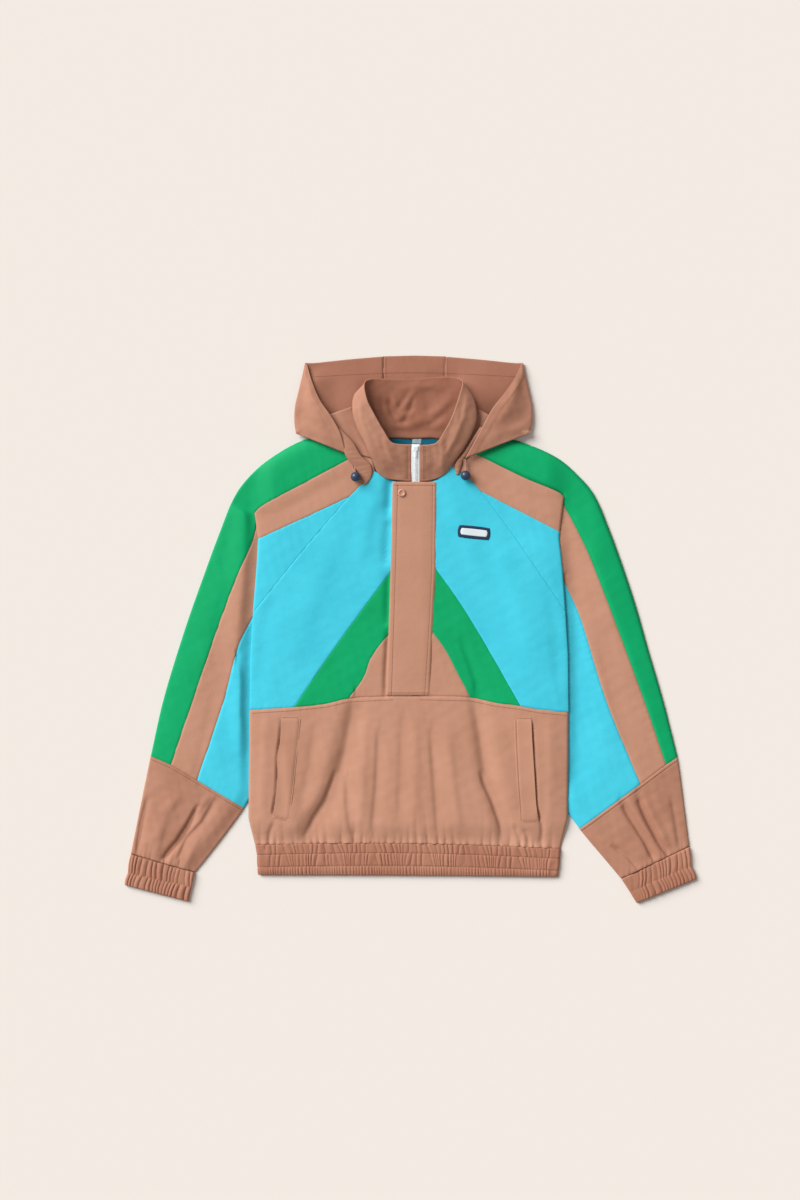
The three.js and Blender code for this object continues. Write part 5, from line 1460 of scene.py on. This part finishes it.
# The snap's cap is pressed brass under baked brown lacquer: a domed ring round a dished centre.
SNAP = (-15, 238)  # its middle
LACQUER = two_tones("brown_lacquered_brass", 420.0, 3.0, "#b9846b", "#c69079", Roughness=0.38)
SNAP_PROFILE = [
    (0, 1.5), (1.6, 1.35), (2.9, 1.4), (3.5, 1.9), (4.2, 2.5), (5.2, 2.6), (6.3, 2.2), (7.1, 1.3), (7.4, 0.5),
    (7.2, 0.0), (0, 0),
]
bm = lathe(SNAP_PROFILE, 40, 1e-3)
base = height_at(body_height, *SNAP) + ON_FRONT + 0.75
for vertex in bm.verts:
    vertex.co = to_frame(vertex.co.x + SNAP[0], vertex.co.y + SNAP[1], vertex.co.z + base)
snap_cap = add_piece("snap_cap_shell", bm, LACQUER)
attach(snap_cap, "root")
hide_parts("snap")

# ---------------------------------------------------------------- topstitching
# Lockstitch in matching polyester thread, about six stitches to 25 mm: beside the zip, round the placket,
# on the pocket welts, along the seams of the forearms and hood, and in the rows that gather hem and cuffs.
# The thread is drawn darker than the cloth: painted shade of the grooves that the stitches pull in.
THREAD_PAINTED_SHADE = two_tones("spun_polyester_thread", 900.0, 2.0, "#754534", "#8a5844", Roughness=0.75)


def sew(name, cloths, rows, pitch=4.2):
    """Stitches along plan lines, each laid on whichever of the cloths is on top there."""
    trees = []
    for cloth in cloths:
        corners, faces = [v.co for v in cloth.data.vertices], [p.vertices for p in cloth.data.polygons]
        trees.append((cloth.modifiers["wall"].thickness / 2, BVHTree.FromPolygons(corners, faces)))

    def top(x, y):
        start = Vector(to_frame(x, y, 1 / MM))
        hits = [(tree.ray_cast(start, Vector((0, 0, -1)))[0], wall) for wall, tree in trees]
        hits = [hit.z + wall for hit, wall in hits if hit is not None]
        return max(hits) / MM if hits else None

    bm = bmesh.new()
    for row in rows:
        points = polyline(row, pitch)
        for a, b in zip(points[:-1], points[1:]):
            a, b = a + (b - a) * 0.1, b + (a - b) * 0.1
            za, zb = top(*a), top(*b)
            if za is None or zb is None or abs(za - zb) > 2:
                continue
            run = Vector((*(b - a), zb - za))
            centre = Vector((*((a + b) / 2 + SHIFT), (za + zb) / 2 + 0.1)) * MM
            place = Matrix.Translation(centre) @ run.to_track_quat("X", "Z").to_matrix().to_4x4()
            stitch = bmesh.ops.create_cube(bm, size=MM, matrix=place @ Matrix.Diagonal((run.length, 0.85, 0.45, 1)))
            for vertex in stitch["verts"]:
                local = place.inverted() @ vertex.co
                if local.z > 0:
                    vertex.co = place @ Vector((local.x * 0.7, local.y * 0.7, local.z))
    piece = add_piece(name, bm, THREAD_PAINTED_SHADE)
    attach(piece, "root")


def shifted(points, dx, dy=0.0):
    """A line moved aside in the plan."""
    return [(x + dx, y + dy) for x, y in points]


placket_rows = [list(zip(row, row_y)) for row in seam_rows]
placket_rows += [[(-31, 251.5), (45, 251.3)], [(-40, -110.8), (33, -110.8)]]
sew("placket_stitches", [placket], placket_rows)
sew("zip_edge_stitches", [collar], [[(x, 319), (x, 262)] for x in (-5.2, -8.0, 22.8, 25.2)])
for side, tag, out in SIDES:
    welt = bpy.data.objects["pocket_welt_shell_" + tag]
    edges = (WELT_SEAM[side], POCKET_MOUTH[side])
    ends = [[shifted(edge, 0, dy)[end] for edge in edges] for end, dy in ((0, -3), (-1, 3))]
    sew("welt_stitches_" + tag, [welt], [shifted(WELT_SEAM[side], out * 3), *ends])
    forearm = bpy.data.objects["forearm_" + tag]
    sew("forearm_stitches_" + tag, [forearm], [shifted(strip_ends(side), 0, -5.5)])
    seam_x = -46.2 if side == "l" else 60.6
    hood_pieces = [crown, bpy.data.objects["hood_side_panel_" + tag]]
    sew("hood_seam_stitches_" + tag, hood_pieces, [[(seam_x + dx, 474), (seam_x + dx, 440)] for dx in (-3.4, 3.4)])
hood_pieces = [crown, bpy.data.objects["hood_side_panel_L"], bpy.data.objects["hood_side_panel_R"]]
hem_row = [(-172, 441), (-110, 445), (-46, 448), (7, 449), (60, 448), (120, 445), (184, 442)]
sew("hood_hem_stitches", hood_pieces, [hem_row])
sew("waist_stitches", [lower_front], [shifted(WAIST[:5], 0, -6.0), shifted(WAIST[6:], 0, -6.0)])
